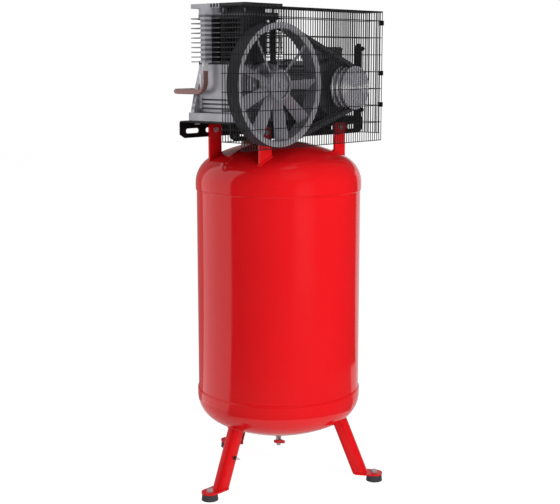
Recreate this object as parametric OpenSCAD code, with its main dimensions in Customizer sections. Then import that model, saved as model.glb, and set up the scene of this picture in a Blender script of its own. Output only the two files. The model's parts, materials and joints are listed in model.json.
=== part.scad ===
// Vertical tank air compressor: a belt driven twin cylinder pump on an upright receiver

/* [Tank] */
// Outer diameter of the rolled shell
tank_d = 497; // [460:1:540]
// Wall of the rolled shell
shell_t = 3; // [2:0.5:5]
// Wall of the pressed heads, which lap over the shell
head_t = 3; // [2.5:0.5:6]
// Height of the lower seam above the floor
seam_low_z = 288; // [270:2:330]
// Height of the upper seam above the floor
seam_high_z = 911; // [800:5:1050]
// Straight skirt of each head
head_skirt = 16; // [12:1:35]
// Outer crown radius of each head
crown_r = 455; // [430:5:520]
// Outer knuckle radius of each head
knuckle_r = 87; // [75:1:100]

/* [Legs] */
// Radius of the circle through the feet
foot_circle_r = 305; // [290:1:330]
// Lean of the legs from upright, in degrees
leg_lean = 21.8; // [18:0.2:25]
// Width of a leg across the radius
leg_w = 40; // [34:1:48]
// Depth of a leg along the radius
leg_depth = 47; // [40:1:55]
// Sheet thickness of the legs
leg_t = 4; // [3:0.5:6]
// Diameter of the rubber feet
foot_d = 50; // [44:1:60]
// Height of the rubber feet
foot_h = 20; // [14:1:30]
// Thickness of the foot plates
foot_plate_t = 5; // [4:0.5:8]
// Bearing of the rear leg, in degrees from the right
rear_leg_a = 76; // [60:1:86]

/* [Base plate] */
// Height of the plate's top above the upper seam
plate_rise = 209; // [205:1:230]
// Left end of the plate, measured from the tank axis
plate_left = 305; // [300:1:320]
// Right end of the plate, measured from the tank axis
plate_right = 285; // [280:1:310]
// Depth of the plate, front to back
plate_depth = 207; // [205:1:215]
// Height of the folded flanges
flange_h = 51; // [44:1:54]
// Sheet thickness of the plate
plate_t = 4; // [3:0.5:5]
// Width of the support posts
post_w = 50; // [40:1:60]
// Thickness of the support posts
post_t = 6; // [4:0.5:8]

/* [Pump] */
// Half of the distance between the crank and the motor shaft
half_centres = 168; // [160:1:180]
// Crank height above the base plate
crank_h = 103; // [100:1:112]
// Cylinder bore
bore_d = 70; // [60:1:74]
// Distance between the two cylinders
bore_pitch = 100; // [96:1:106]
// Crank throw, half of the stroke
throw_r = 27.5; // [22:0.5:30]
// Length of the connecting rods between centres
rod_l = 135.5; // [134:0.5:137]
// Number of cooling fins on the cylinder block
fin_count = 10; // [8:1:12]
// Thickness of a cooling fin
fin_t = 3; // [2:0.5:4]
// Width of the fins across the crank
fin_w = 160; // [154:1:170]
// Length of the fins along the crank
fin_l = 219; // [214:1:226]

/* [Drive] */
// Diameter of the fan flywheel
wheel_d = 347; // [320:1:350]
// Number of fan blades
blade_count = 9; // [5:1:11]
// Setting of the blades from the wheel's plane, in degrees
blade_pitch = 44; // [30:1:55]
// Diameter of the motor pulley
pulley_d = 130; // [110:1:150]
// Width of the flywheel and the pulley
wheel_w = 44; // [42:1:48]
// Distance between the two belts
belt_pitch = 19; // [18.5:0.1:20]
// Top width of a belt
belt_w = 15.5; // [14:0.1:15.9]
// Height of a belt
belt_h = 10; // [8:0.5:11]
// Motor shaft height above the base plate
motor_h = 90; // [90:1:100]
// Length of the motor frame
motor_l = 160; // [150:1:180]
// Radius over the motor's cooling fins
motor_r = 88; // [86:1:89]

/* [Guard] */
// Left side of the guard, measured from the tank axis
guard_left_x = 353; // [350:1:375]
// Right side of the guard, measured from the tank axis
guard_right_x = 265; // [262:1:278]
// Height of the guard's top above the base plate
guard_top = 316; // [312:1:340]
// Drop of the front panel below the base plate's top
guard_drop = 72; // [70:1:78]
// Drop of the other panels below the base plate's top
side_drop = 50; // [44:1:56]
// Depth of the guard, front to back
guard_depth = 72; // [71:1:90]
// Pitch of the upright wires
wire_pitch = 10.5; // [9:0.1:12]
// Pitch of the level wires
level_pitch = 50.9; // [40:0.1:60]
// Diameter of the wires
wire_d = 2.4; // [1.6:0.1:2.8]

/* [Pipes] */
// Outer diameter of the delivery pipe
pipe_d = 15; // [12:0.5:18]
// Bend radius of the delivery pipe
pipe_bend = 30; // [24:1:32]
// Drop of the pipe's level run below the discharge elbow
pipe_drop = 66; // [62:1:80]
// Bearing of the manifold round the tank, in degrees from the right
manifold_a = 54; // [30:1:56]
// Height of the manifold above the floor
manifold_z = 790; // [600:5:800]

/* [Hidden] */
$fn = 64;
// Gap left between curved faces that seat on each other
fit = 0.15;
// Running clearance of shafts in their rings
run = 0.05;
// Gap between a belt and its groove
belt_gap = 0.6;
// Gap between crossing wires
cross_gap = 0.05;

head_r = tank_d / 2 + fit + head_t;
function dome_h(r, c, k) = c - sqrt(pow(c - k, 2) - pow(r - k, 2));
head_h = dome_h(head_r, crown_r, knuckle_r);
low_z = seam_low_z - head_skirt - head_h;
crown_mid_z = seam_high_z + head_skirt + head_h - crown_r;
// Height of the top head at a distance from the tank axis
function dome_z(r) = crown_mid_z + sqrt(crown_r * crown_r - r * r);

leg_angles = [180, 300, rear_leg_a];
foot_top = foot_h + foot_plate_t;
foot_end_r = foot_d / 2;
foot_l = 84;
leg_in = 47;
leg_round = 17;
leg_stud = 95;
stud_r = 5;
stud_l = 9;
stud_tip_r = 2.5;
stud_tip = 6;

base_z = seam_high_z + plate_rise;
plate_front = -97;
plate_back = plate_front + plate_depth;
plate_bend = 8;
plate_low = base_z - flange_h;
slot_z = base_z - 31;
slot_w = 14;
end_slot_l = 53;
end_slot_in = 49;
post_slot_l = 70;
chamfer_l = 18;
chamfer_h = 11;
post_x = half_centres;
post_top = base_z - 15;
front_post_y = plate_front - post_t;
back_post_y = plate_back - plate_t - post_t;
m10_r = 5;
m10_clear = 5.5;
m10_head_r = 9.2;
m10_head_h = 6.4;
m10_nut_h = 8;
m10_washer_r = 10;
m10_washer_t = 2;
// Size of the post bolts as a share of the other frame bolts
post_bolt = 0.8;
foot_thread = 14;

crank_x = -half_centres;
crank_z = base_z + crank_h;
front_bore_y = -46;
bore_ys = [front_bore_y, front_bore_y + bore_pitch];
pump_y = front_bore_y + bore_pitch / 2;
bore_r = bore_d / 2;
case_foot_w = 200;
case_foot_t = 22;
case_foot_round = 5;
case_w = 146;
case_round = 6;
case_front = -84;
case_back = bore_ys[1] + 42;
case_rear = bore_ys[1] + 50;
case_l = case_back - case_front;
case_mid_y = (case_front + case_back) / 2;
case_foot_front = case_front - 16;
case_foot_l = case_rear + 8 - case_foot_front;
case_flare_w = 196;
case_mid_w = 158;
case_neck_w = 116;
case_mid_drop = 8;
case_wall = 11;
case_floor = case_foot_t + 8;
case_top = crank_z + 57;
case_bolt_x = 85;
case_bolt_in = 6;
rib_out = 1.5;
rib_h = 7;
rib_pitch = 12.5;
rib_in = 10;
glass_r = 13;
glass_x = crank_x + 55;
glass_z = base_z + 40;
filler_r = 12;
filler_y = pump_y + 40;
filler_z = base_z + 112;
boss_r = 64;
boss_front_y = -94;
cover_t = 12;
cover_r = 62;
cover_bolt_r = 54;
bearing_w = 20;
front_ring_r = 40;
nose_r = 17.5;
front_ring_y = boss_front_y + 2;
nose_end_y = front_ring_y + bearing_w + 3;
web_t = 10;
pin_w = 24;
pin_r = 15;
rear_r = 15;
rear_ring_r = 36;
rear_ring_y = pump_y + bore_pitch / 2 + pin_w / 2 + web_t + 6;
rear_boss_end = rear_ring_y + bearing_w + 6;
seal_r = 27;
seal_w = 9;

gasket_t = 2;
block_z = case_top + gasket_t;
block_rise = 130;
block_top = block_z + block_rise;
barrel_r = bore_r + 9;
fin_pitch = (block_top - block_z - 8) / (fin_count - 1);
fin_round = 6;
fin_front = -99;
fin_mid_y = fin_front + fin_l / 2;
seat_w = 136;
seat_l = bore_pitch + 96;
seat_round = 8;
column_x = crank_x - fin_w / 2 - 23;
column_w = 27;
column_l = 18;
column_y = bore_ys[1] - 10;
column_low = block_z + 2;
tie_x = 58;
tie_y = bore_pitch / 2 + 32;
tie_in = 30;
tie_sink = 8;
tie_sink_r = 9.5;
tie_r = 4;
tie_clear = 4.5;
valve_t = 6;
head_z = block_top + gasket_t + valve_t;
head_flange_t = 5;
head_wall_h = 13;
head_cap_t = 13;
head_top = head_z + head_flange_t + head_wall_h + head_cap_t;
head_in = 34;
chamber_l = 80;
chamber_y = bore_ys[1] + 7;
slot_depth = 11;
head_slot = 6;
head_slot_pitch = 12;
head_slot_l = 44;
front_slot_l = 70;
filter_r = 22;
filter_l = 52;
filter_stub_r = 8;
filter_gap = 6;
filter_z = head_top - filter_r;
crown_above = 25;
skirt_below = 25;
piston_r = bore_r - 0.2;
ring_r = bore_r - 0.1;
ring_in = bore_r - 4;
ring_h = 2;
wrist_r = 10;
rod_w = 22;

wheel_r = wheel_d / 2;
pulley_r = pulley_d / 2;
wheel_back = -118;
wheel_front = wheel_back - wheel_w;
wheel_mid = (wheel_front + wheel_back) / 2;
rim_t = 17;
rim_in_r = wheel_r - rim_t;
rim_chamfer = 3;
hub_r = 44;
hub_recess_r = 36;
hub_recess = 8;
hub_back = -109;
hub_neck_r = 30;
blade_root_w = 28;
blade_taper = 1.45;
blade_arch = 3;
blade_t = 3.2;
blade_bury = 3;
groove_depth = 12;
groove_half_a = 19;
belt_under = 0.4;
bolt_washer_r = 19;
bolt_washer_t = 3;
bolt_head_r = 9.5;
bolt_head_h = 8;

motor_x = half_centres;
motor_z = base_z + motor_h;
centre_l = norm([motor_x - crank_x, motor_z - crank_z]);
belt_a = atan2(motor_z - crank_z, motor_x - crank_x);
wheel_belt_r = wheel_r - belt_under;
pulley_belt_r = pulley_r - belt_under;
wrap_a = acos((wheel_belt_r - pulley_belt_r) / centre_l);
run_l = sqrt(centre_l * centre_l - pow(wheel_belt_r - pulley_belt_r, 2));

motor_y = -56;
motor_end_y = motor_y + motor_l;
motor_shell_r = 80;
motor_in_r = 66;
motor_fin_t = 3;
motor_fins = 28;
motor_foot_x = 70;
motor_foot_w = 36;
motor_foot_t = 14;
motor_hole_ys = [motor_y + 32, motor_y + 132];
shield_r = 83.5;
shield_t = 16;
spigot = 6;
shaft_r = 12;
seat_r = 12.5;
motor_ring_r = 26;
motor_ring_w = 15;
core_r = 45;
core_gap = 0.5;
core_l = 100;
fan_r = 68;
fan_blades = 7;
fan_y = motor_end_y + shield_t + 6;
fan_w = 26;
cover_sheet = 2;
cover_end_y = fan_y + fan_w + 14;
box_w = 96;
box_l = 80;
box_h = 26;
box_wall = 3;
box_lid_t = 10;
box_y = motor_y - 18;
box_z = motor_z + motor_shell_r + 6;

wire_r = wire_d / 2;
guard_back_y = -114;
guard_front_y = guard_back_y - guard_depth;
guard_w = guard_left_x + guard_right_x;
guard_top_z = base_z + guard_top;
guard_low_z = base_z - guard_drop;
side_low_z = base_z - side_drop;
level_top_in = 26;
crank_hole = 132;
shaft_hole = 76;
strap_w = 32;
strap_t = 4;
strap_top = base_z + 223;
wire_gaps = round(guard_w / wire_pitch);
wire_step = guard_w / wire_gaps;
strap_x = guard_right_x - wire_step / 2;
strap_zs = [base_z - 38, base_z - 16];
stay_zs = [base_z + 20, strap_top - strap_w / 2];
stay_left_x = -guard_left_x + 5.5 * wire_step;
stay_low_z = base_z - 34;
stay_r = 3;
clip_t = 2;
clip_h = 14;
clip_l = 18;
clip_zs = [guard_top_z - 40, guard_top_z - 190, guard_top_z - 285];

pipe_r = pipe_d / 2;
pipe_x = column_x + column_l / 2;
pipe_y = column_y;
elbow_h = 22;
elbow_r = 11;
pipe_z = column_low - elbow_h - pipe_drop + 6;
valve_in = 63.5;
pipe_back_y = tank_d / 2 - valve_in;
valve_x = 60;
valve_z = dome_z(norm([valve_x, pipe_back_y]));
socket_r = 16;
socket_h = 14;
socket_bore_r = 10;

socket_out = 22;
manifold_r = head_r + socket_out;
block_w = 56;
block_h = 44;
tank_bore_r = 13;
gauge_r = 26;
gauge_l = 24;
gauge_stem = 14;
knob_r = 11;
knob_h = 14;
knob_stem_r = 4;
switch_w = 64;
switch_l = 88;
switch_base_h = 24;
switch_cover_h = 66;
switch_stem = 14;
valve_r = 15;
valve_l = 58;
outlet_r = 9.5;
outlet_l = 15;
lever_stem_r = 4;
lever_l = 64;
safety_r = 11;
safety_l = 34;
safety_stem_r = 3;

drain_boss_r = 13;
drain_boss_h = 8;
drain_bore_r = 8.2;
drain_stem_r = 8;
drain_hex_r = 11.5;
drain_hex_h = 9;
drain_body_r = 8.5;
drain_body_h = 40;
drain_tip_r = 6.5;
drain_tip = 6;
drain_lever_l = 40;
drain_lever_a = 16;
drain_lever_w = 10;
drain_low = 8;
drain_z = low_z - drain_boss_h - drain_body_h + drain_low;
drain_spindle_r = 3;
drain_neck = 14;

axis_x = (guard_left_x + wire_r - plate_right) / 2;
front_foot_y = foot_circle_r * sin(leg_angles[1]) - foot_end_r;
rear_foot_y = foot_circle_r * sin(rear_leg_a) + foot_end_r;
axis_y = -(front_foot_y + rear_foot_y) / 2;

// Shared shapes

// Moves the tank axis so that the origin is the middle of the footprint
module place() { translate([axis_x, axis_y, 0]) children(); }

// Cylinder along +Y
module ycyl(r, l) { rotate([-90, 0, 0]) cylinder(r = r, h = l); }

// Cylinder along +X
module xcyl(r, l) { rotate([0, 90, 0]) cylinder(r = r, h = l); }

module ring(r_out, r_in, h) {
    difference() {
        cylinder(r = r_out, h = h);
        translate([0, 0, -1]) cylinder(r = r_in, h = h + 2);
    }
}

// Rectangle with round corners, centred on the origin
module round_rect(w, l, r) {
    square([w - 2 * r, l], center = true);
    square([w, l - 2 * r], center = true);
    for (sx = [-1, 1]) for (sy = [-1, 1]) translate([sx * (w / 2 - r), sy * (l / 2 - r)]) circle(r);
}

// Slot along x, centred on the origin
module slot(l, w) {
    square([l - w, w], center = true);
    for (s = [-1, 1]) translate([s * (l - w) / 2, 0]) circle(w / 2);
}

// Bolt with washer, tightened by a nut: the head sits on z = 0 and the shank points down
module bolt(grip, tail = m10_nut_h + m10_washer_t + 3, nut = true, k = 1) {
    washer_t = m10_washer_t * k;
    nut_h = m10_nut_h * k;
    cylinder(r = m10_washer_r * k, h = washer_t);
    translate([0, 0, washer_t]) cylinder(r = m10_head_r * k, h = m10_head_h * k, $fn = 6);
    translate([0, 0, -grip - tail]) cylinder(r = m10_r * k, h = grip + tail + 1);
    if (nut) {
        translate([0, 0, -grip - washer_t]) cylinder(r = m10_washer_r * k, h = washer_t);
        translate([0, 0, -grip - washer_t - nut_h]) cylinder(r = m10_head_r * k, h = nut_h, $fn = 6);
    }
}

// Small bolt of the pump: the head sits on z = 0 and the shank points down
module small_bolt(l) {
    cylinder(r = 7.5, h = 6, $fn = 6);
    translate([0, 0, -l]) cylinder(r = tie_r, h = l + 1);
}

// Half outline of a pressed head, skirt at the bottom, grown by an amount
module head_half(grow, extra = 0) {
    r = head_r + grow;
    c = crown_r + grow;
    k = knuckle_r + grow;
    h = dome_h(r, c, k);
    meet = (r - k) * c / (c - k);
    translate([0, -extra]) square([r, head_skirt + extra]);
    translate([0, head_skirt]) {
        intersection() {
            translate([0, h - c]) circle(c, $fn = 200);
            square([meet, h]);
        }
        intersection() {
            translate([r - k, 0]) circle(k);
            translate([r - k, 0]) square([k, k]);
        }
    }
}

// The tank's outside as one filled body, grown by a gap, to cut what is welded to it
module tank_outside(gap) {
    rotate_extrude() {
        translate([0, seam_high_z]) head_half(gap);
        translate([0, seam_low_z]) mirror([0, 1]) head_half(gap);
        translate([0, seam_low_z]) square([head_r + gap, seam_high_z - seam_low_z]);
    }
}

// One head with its weld bead, open side down, skirt edge at z = 0
module head_shell() {
    rotate_extrude() {
        difference() {
            head_half(0);
            head_half(-head_t, 1);
        }
        polygon([[head_r - head_t, 0.5], [head_r, 0.5], [head_r, 0], [head_r - head_t, -head_t]]);
    }
}

// Tank

module tank_shell() {
    lap = head_skirt - 3;
    color("red") difference() {
        union() {
            translate([0, 0, seam_low_z - lap])
                cylinder(r = tank_d / 2, h = seam_high_z - seam_low_z + 2 * lap, $fn = 200);
            rotate([0, 0, manifold_a]) translate([tank_d / 2 - 4, 0, manifold_z])
                xcyl(tank_bore_r + 8, manifold_r - tank_d / 2 + 4);
        }
        translate([0, 0, seam_low_z - lap - 1])
            cylinder(r = tank_d / 2 - shell_t, h = seam_high_z - seam_low_z + 2 * lap + 2, $fn = 200);
        rotate([0, 0, manifold_a]) translate([tank_d / 2 - 20, 0, manifold_z]) xcyl(tank_bore_r, 80);
    }
}

module tank_top_head() {
    color("red") difference() {
        union() {
            translate([0, 0, seam_high_z]) head_shell();
            translate([valve_x, pipe_back_y, valve_z - 14]) cylinder(r = socket_r, h = 14 + socket_h);
        }
        translate([valve_x, pipe_back_y, valve_z - 40]) cylinder(r = socket_bore_r, h = 80);
        translate([0, 0, seam_high_z]) rotate_extrude() head_half(-head_t, 1);
    }
}

module tank_bottom_head() {
    color("red") difference() {
        union() {
            translate([0, 0, seam_low_z]) mirror([0, 0, 1]) head_shell();
            translate([0, 0, low_z - drain_boss_h]) cylinder(r = drain_boss_r, h = drain_boss_h + 3);
        }
        translate([0, 0, low_z - 30]) cylinder(r = drain_bore_r, h = 60);
    }
}

// Legs

// Section of a leg: a pressed channel, open towards the tank axis
module leg_section() {
    difference() {
        round_rect(leg_depth, leg_w, leg_round);
        translate([-leg_t, 0]) round_rect(leg_depth, leg_w - 2 * leg_t, leg_round - leg_t);
        translate([-leg_depth, 0]) square([leg_depth, leg_w - 2 * leg_t], center = true);
    }
}

module leg_channel() {
    translate([foot_circle_r - leg_in, 0, foot_top]) rotate([0, -leg_lean, 0])
        translate([0, 0, -30]) linear_extrude(seam_low_z + 40) leg_section();
}

module foot_plate() {
    translate([0, 0, foot_h]) linear_extrude(foot_plate_t) difference() {
        union() {
            translate([foot_circle_r, 0]) circle(foot_end_r);
            translate([foot_circle_r + foot_end_r - foot_l, -foot_end_r + 6])
                square([foot_l - foot_end_r, 2 * foot_end_r - 12]);
            translate([foot_circle_r + foot_end_r - foot_l + 6, -foot_end_r])
                square([foot_l - foot_end_r - 6, 2 * foot_end_r]);
            for (s = [-1, 1])
                translate([foot_circle_r + foot_end_r - foot_l + 6, s * (foot_end_r - 6)]) circle(6);
        }
        translate([foot_circle_r, 0]) circle(m10_clear);
    }
}

module leg(angle) {
    color("red") rotate([0, 0, angle]) difference() {
        union() {
            difference() {
                leg_channel();
                translate([0, -100, foot_h - 200]) cube([500, 200, 200]);
            }
            foot_plate();
        }
        tank_outside(fit);
    }
}

module left_leg() {
    x = foot_circle_r - leg_in - leg_stud * sin(leg_lean);
    leg(leg_angles[0]);
    color("red") translate([-x, -leg_w / 2 - stud_l, foot_top + leg_stud * cos(leg_lean)]) {
        ycyl(stud_r, stud_l + leg_t / 2);
        translate([0, -stud_tip, 0]) ycyl(stud_tip_r, stud_tip + 1);
    }
}

module right_leg() { leg(leg_angles[1]); }

module rear_leg() { leg(leg_angles[2]); }

module rubber_feet() {
    color("dimgray") for (a = leg_angles) rotate([0, 0, a]) translate([foot_circle_r, 0, 0]) difference() {
        cylinder(r1 = foot_end_r, r2 = foot_end_r - 2, h = foot_h);
        translate([0, 0, 5]) cylinder(r = m10_r + fit, h = foot_h);
    }
}

module drain_valve() {
    color("silver") difference() {
        union() {
            translate([0, 0, low_z - drain_boss_h - 0.5]) cylinder(r = drain_stem_r, h = drain_boss_h);
            translate([0, 0, low_z - drain_boss_h - drain_hex_h])
                cylinder(r = drain_hex_r, h = drain_hex_h - fit, $fn = 6);
            translate([0, 0, drain_z - drain_low]) cylinder(r = drain_body_r, h = drain_body_h - fit);
            translate([0, 0, drain_z - drain_low - drain_tip]) cylinder(r = drain_tip_r, h = drain_tip + 1);
            translate([0, -drain_neck, drain_z]) ycyl(drain_spindle_r + 3, drain_neck);
        }
        translate([0, 0, low_z - 60]) cylinder(r = 4, h = 80);
        translate([0, -drain_neck - 1, drain_z]) ycyl(drain_spindle_r + run, drain_neck - 4);
    }
}

module drain_lever() {
    color("darkred") translate([0, 0, drain_z]) {
        translate([0, -drain_neck - 6.5, 0]) ycyl(drain_spindle_r, drain_neck);
        translate([0, -drain_neck - 0.5, 0]) rotate([90, 0, 0]) rotate([0, 0, 180 - drain_lever_a])
            linear_extrude(6) difference() {
                translate([drain_lever_l / 2 - 4, 0]) slot(drain_lever_l + 8, drain_lever_w);
                translate([drain_lever_l - 6, 0]) circle(2.5);
            }
    }
}

// Base plate and posts

module plate_profile(inset, r) {
    w = plate_depth - 2 * inset;
    translate([plate_front + inset, plate_low]) {
        square([w, flange_h - inset - r]);
        translate([r, 0]) square([w - 2 * r, flange_h - inset]);
        for (y = [r, w - r]) translate([y, flange_h - inset - r]) circle(r);
    }
}

module flange_slots() {
    mids = [-plate_left + end_slot_in, plate_right - end_slot_in];
    for (x = mids) translate([x, slot_z]) slot(end_slot_l, slot_w);
    for (x = [-post_x, post_x]) translate([x, slot_z]) slot(post_slot_l, slot_w);
    polygon([[-plate_left - 1, plate_low - 1], [-plate_left - 1, plate_low + chamfer_h],
             [-plate_left, plate_low + chamfer_h], [-plate_left + chamfer_l, plate_low],
             [-plate_left + chamfer_l, plate_low - 1]]);
    polygon([[plate_right + 1, plate_low - 1], [plate_right + 1, plate_low + chamfer_h],
             [plate_right, plate_low + chamfer_h], [plate_right - chamfer_l, plate_low],
             [plate_right - chamfer_l, plate_low - 1]]);
}

module base_plate() {
    color("black") difference() {
        translate([-plate_left, 0, 0]) rotate([90, 0, 90]) linear_extrude(plate_left + plate_right)
            difference() {
                plate_profile(0, plate_bend);
                plate_profile(plate_t, plate_bend - plate_t);
                translate([plate_front + plate_t, plate_low - 2])
                    square([plate_depth - 2 * plate_t, 4]);
            }
        translate([0, plate_back + 1, 0]) rotate([90, 0, 0]) linear_extrude(plate_depth + 2) flange_slots();
        for (p = plate_holes) translate([p[0], p[1], base_z - 20]) cylinder(r = m10_clear, h = 40);
        for (p = front_holes) translate([p[0], plate_front - 1, p[1]]) ycyl(stay_r + 0.5, plate_t + 2);
    }
}

case_holes = [for (sx = [-1, 1]) for (y = [case_front + case_bolt_in, case_back - case_bolt_in])
    [crank_x + sx * case_bolt_x, y]];
motor_holes = [for (sx = [-1, 1]) for (y = motor_hole_ys) [motor_x + sx * motor_foot_x, y]];
plate_holes = concat(case_holes, motor_holes);
front_holes = [[stay_left_x, stay_low_z], [strap_x, strap_zs[0]], [strap_x, strap_zs[1]]];

module post(x, y) {
    difference() {
        translate([x - post_w / 2, y, dome_z(240)]) cube([post_w, post_t, post_top - dome_z(240)]);
        translate([x, y - 1, slot_z]) ycyl(m10_clear * post_bolt, post_t + 2);
        tank_outside(fit);
    }
}

module support_posts() {
    color("red") for (x = [-post_x, post_x]) {
        post(x, front_post_y);
        post(x, back_post_y);
    }
}

module frame_bolts() {
    color("silver") {
        for (x = [-post_x, post_x]) {
            for (y = [front_post_y, back_post_y]) translate([x, y, slot_z]) rotate([90, 0, 0])
                bolt(post_t + plate_t, k = post_bolt);
        }
        for (p = case_holes) translate([p[0], p[1], base_z - plate_t]) mirror([0, 0, 1])
            bolt(plate_t, foot_thread, false);
        for (p = motor_holes) translate([p[0], p[1], base_z + motor_foot_t]) bolt(motor_foot_t + plate_t);
        for (a = leg_angles) rotate([0, 0, a]) translate([foot_circle_r, 0, foot_top])
            bolt(foot_plate_t, foot_h - 7, false);
    }
}

// Pump

// Body of the crankcase: a straight box and a rear wall that flares towards the foot
module case_body() {
    low = base_z + case_foot_t - 2;
    mid = crank_z - case_mid_drop;
    translate([crank_x, case_mid_y, base_z]) linear_extrude(case_top - base_z)
        round_rect(case_w, case_l, case_round);
    translate([crank_x, case_rear, 0]) rotate([90, 0, 0]) linear_extrude(case_rear - case_back + case_round)
        polygon([
            [-case_flare_w / 2, low], [case_flare_w / 2, low], [case_mid_w / 2, mid],
            [case_neck_w / 2, case_top], [-case_neck_w / 2, case_top], [-case_mid_w / 2, mid]]);
}

// Low ribs on the sides of the crankcase
module case_ribs() {
    low = base_z + case_foot_t + 3;
    for (i = [0:3])
        translate([crank_x - case_w / 2 - rib_out, case_front + rib_in, low + i * rib_pitch])
            cube([case_w + 2 * rib_out, case_l - 2 * rib_in, rib_h]);
}

module crankcase() {
    inner_w = case_w - 2 * case_wall;
    inner_y = nose_end_y - 0.5;
    inner_end = rear_ring_y - 2;
    color("gainsboro") difference() {
        union() {
            translate([crank_x, case_foot_front + case_foot_l / 2, base_z]) linear_extrude(case_foot_t)
                round_rect(case_foot_w, case_foot_l, case_foot_round);
            case_body();
            case_ribs();
            translate([crank_x, boss_front_y, crank_z]) ycyl(boss_r, case_front - boss_front_y + 10);
            translate([crank_x, case_back - 4, crank_z])
                ycyl(rear_ring_r + 14, rear_boss_end - case_back + 4);
        }
        translate([crank_x - inner_w / 2, inner_y, base_z + case_floor])
            cube([inner_w, inner_end - inner_y, case_top - base_z]);
        translate([crank_x, boss_front_y - 1, crank_z])
            ycyl(front_ring_r + fit, nose_end_y - boss_front_y + 10);
        translate([crank_x, rear_ring_y - 20, crank_z]) ycyl(rear_ring_r + fit, bearing_w + 20);
        for (p = case_holes) translate([p[0], p[1], base_z - 1]) cylinder(r = m10_clear, h = foot_thread + 2);
        translate([crank_x - case_foot_w / 2, case_foot_front, case_top])
            cube([case_foot_w, case_foot_l, boss_r]);
        for (i = [0:5]) translate([crank_x, 0, crank_z]) rotate([0, i * 60, 0])
            translate([cover_bolt_r, boss_front_y - 1, 0]) ycyl(tie_clear, 20);
        translate([glass_x, inner_end - 10, glass_z]) ycyl(glass_r + fit, case_rear - inner_end + 20);
        translate([crank_x + inner_w / 2 - 5, filler_y, filler_z]) xcyl(filler_r + fit, case_wall + 10);
    }
}

module front_cover() {
    color("gainsboro") translate([crank_x, boss_front_y - cover_t, crank_z]) difference() {
        union() {
            ycyl(cover_r, cover_t);
            ycyl(front_ring_r - 0.5, cover_t + 2);
        }
        translate([0, -1, 0]) ycyl(nose_r + 1, cover_t + 10);
        translate([0, cover_t - seal_w + 2, 0]) ycyl(seal_r + fit, seal_w + 10);
        for (i = [0:5]) rotate([0, i * 60, 0]) translate([cover_bolt_r, -1, 0]) ycyl(tie_clear, cover_t + 2);
    }
}

module sight_glass() {
    color("lightyellow") translate([glass_x, case_rear - 14, glass_z]) {
        ycyl(glass_r, 14);
        translate([0, 13, 0]) ycyl(glass_r - 3, 5);
    }
}

module oil_filler() {
    color("black") translate([crank_x + case_w / 2 - case_wall, filler_y, filler_z]) {
        xcyl(filler_r, case_wall + 1);
        translate([case_wall, 0, 0]) xcyl(filler_r + 3, 14);
    }
}

module bearing(r_out, r_in, w) { rotate([-90, 0, 0]) ring(r_out, r_in + run, w); }

module ball_bearings() {
    color("silver") {
        translate([crank_x, front_ring_y, crank_z]) bearing(front_ring_r, nose_r, bearing_w);
        translate([crank_x, rear_ring_y, crank_z]) bearing(rear_ring_r, rear_r, bearing_w - 1);
        for (y = motor_ring_ys) translate([motor_x, y, motor_z]) bearing(motor_ring_r, seat_r, motor_ring_w);
    }
}

module pump_outline(z, h, y = pump_y) {
    translate([crank_x, y, z]) linear_extrude(h) children();
}

// Outline of the faces that seat on each other above the cylinders
module seat_outline() {
    round_rect(seat_w, seat_l, seat_round);
    translate([column_x - crank_x, column_y - pump_y - column_l / 2])
        square([crank_x - column_x - tie_x, column_l]);
}

module tie_holes(r) {
    for (sx = [-1, 1]) for (sy = [-1, 0, 1]) translate([sx * tie_x, sy * tie_y]) circle(r);
}

module block_holes() {
    for (y = bore_ys) translate([0, y - pump_y]) circle(bore_r);
    tie_holes(tie_clear);
}

module seals() {
    color("darkslategray") {
        translate([crank_x, boss_front_y - seal_w + 2, crank_z]) rotate([-90, 0, 0])
            ring(seal_r, nose_r + run, seal_w - 0.2);
        pump_outline(case_top, gasket_t, case_mid_y) difference() {
            round_rect(case_w, case_l, case_round);
            for (y = bore_ys) translate([0, y - case_mid_y]) circle(bore_r);
        }
        pump_outline(block_top, gasket_t) difference() {
            seat_outline();
            block_holes();
        }
    }
}

// Web of the crank between the shaft and a pin above or below it
module crank_web(y, side) {
    translate([crank_x, y, crank_z]) {
        ycyl(28, web_t);
        translate([0, 0, side * throw_r]) ycyl(22, web_t);
        translate([-22, 0, min(0, side * throw_r)]) cube([44, web_t, throw_r]);
    }
}

module crank_throw() {
    color("dimgray") {
        for (i = [0, 1]) {
            side = 1 - 2 * i;
            crank_web(bore_ys[i] - pin_w / 2 - web_t, side);
            crank_web(bore_ys[i] + pin_w / 2, side);
            translate([crank_x, bore_ys[i] - pin_w / 2, crank_z + side * throw_r]) ycyl(pin_r, pin_w);
        }
        translate([crank_x, bore_ys[0] + pin_w / 2, crank_z]) ycyl(20, bore_pitch - pin_w);
        translate([crank_x, bore_ys[1] + pin_w / 2, crank_z])
            ycyl(rear_r, rear_ring_y + bearing_w - bore_ys[1] - pin_w / 2);
    }
}

module con_rods() {
    color("gray") for (i = [0, 1]) {
        side = 1 - 2 * i;
        translate([crank_x, bore_ys[i] - rod_w / 2, crank_z + side * throw_r]) difference() {
            union() {
                ycyl(21, rod_w);
                translate([0, 0, rod_l]) ycyl(15, rod_w);
                translate([-8, rod_w / 2 - 6, 15]) cube([16, 12, rod_l - 22]);
            }
            translate([0, -1, 0]) ycyl(pin_r + fit, rod_w + 2);
            translate([0, -1, rod_l]) ycyl(wrist_r + fit, rod_w + 2);
        }
    }
}

function pin_z(i) = crank_z + (1 - 2 * i) * throw_r + rod_l;

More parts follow.
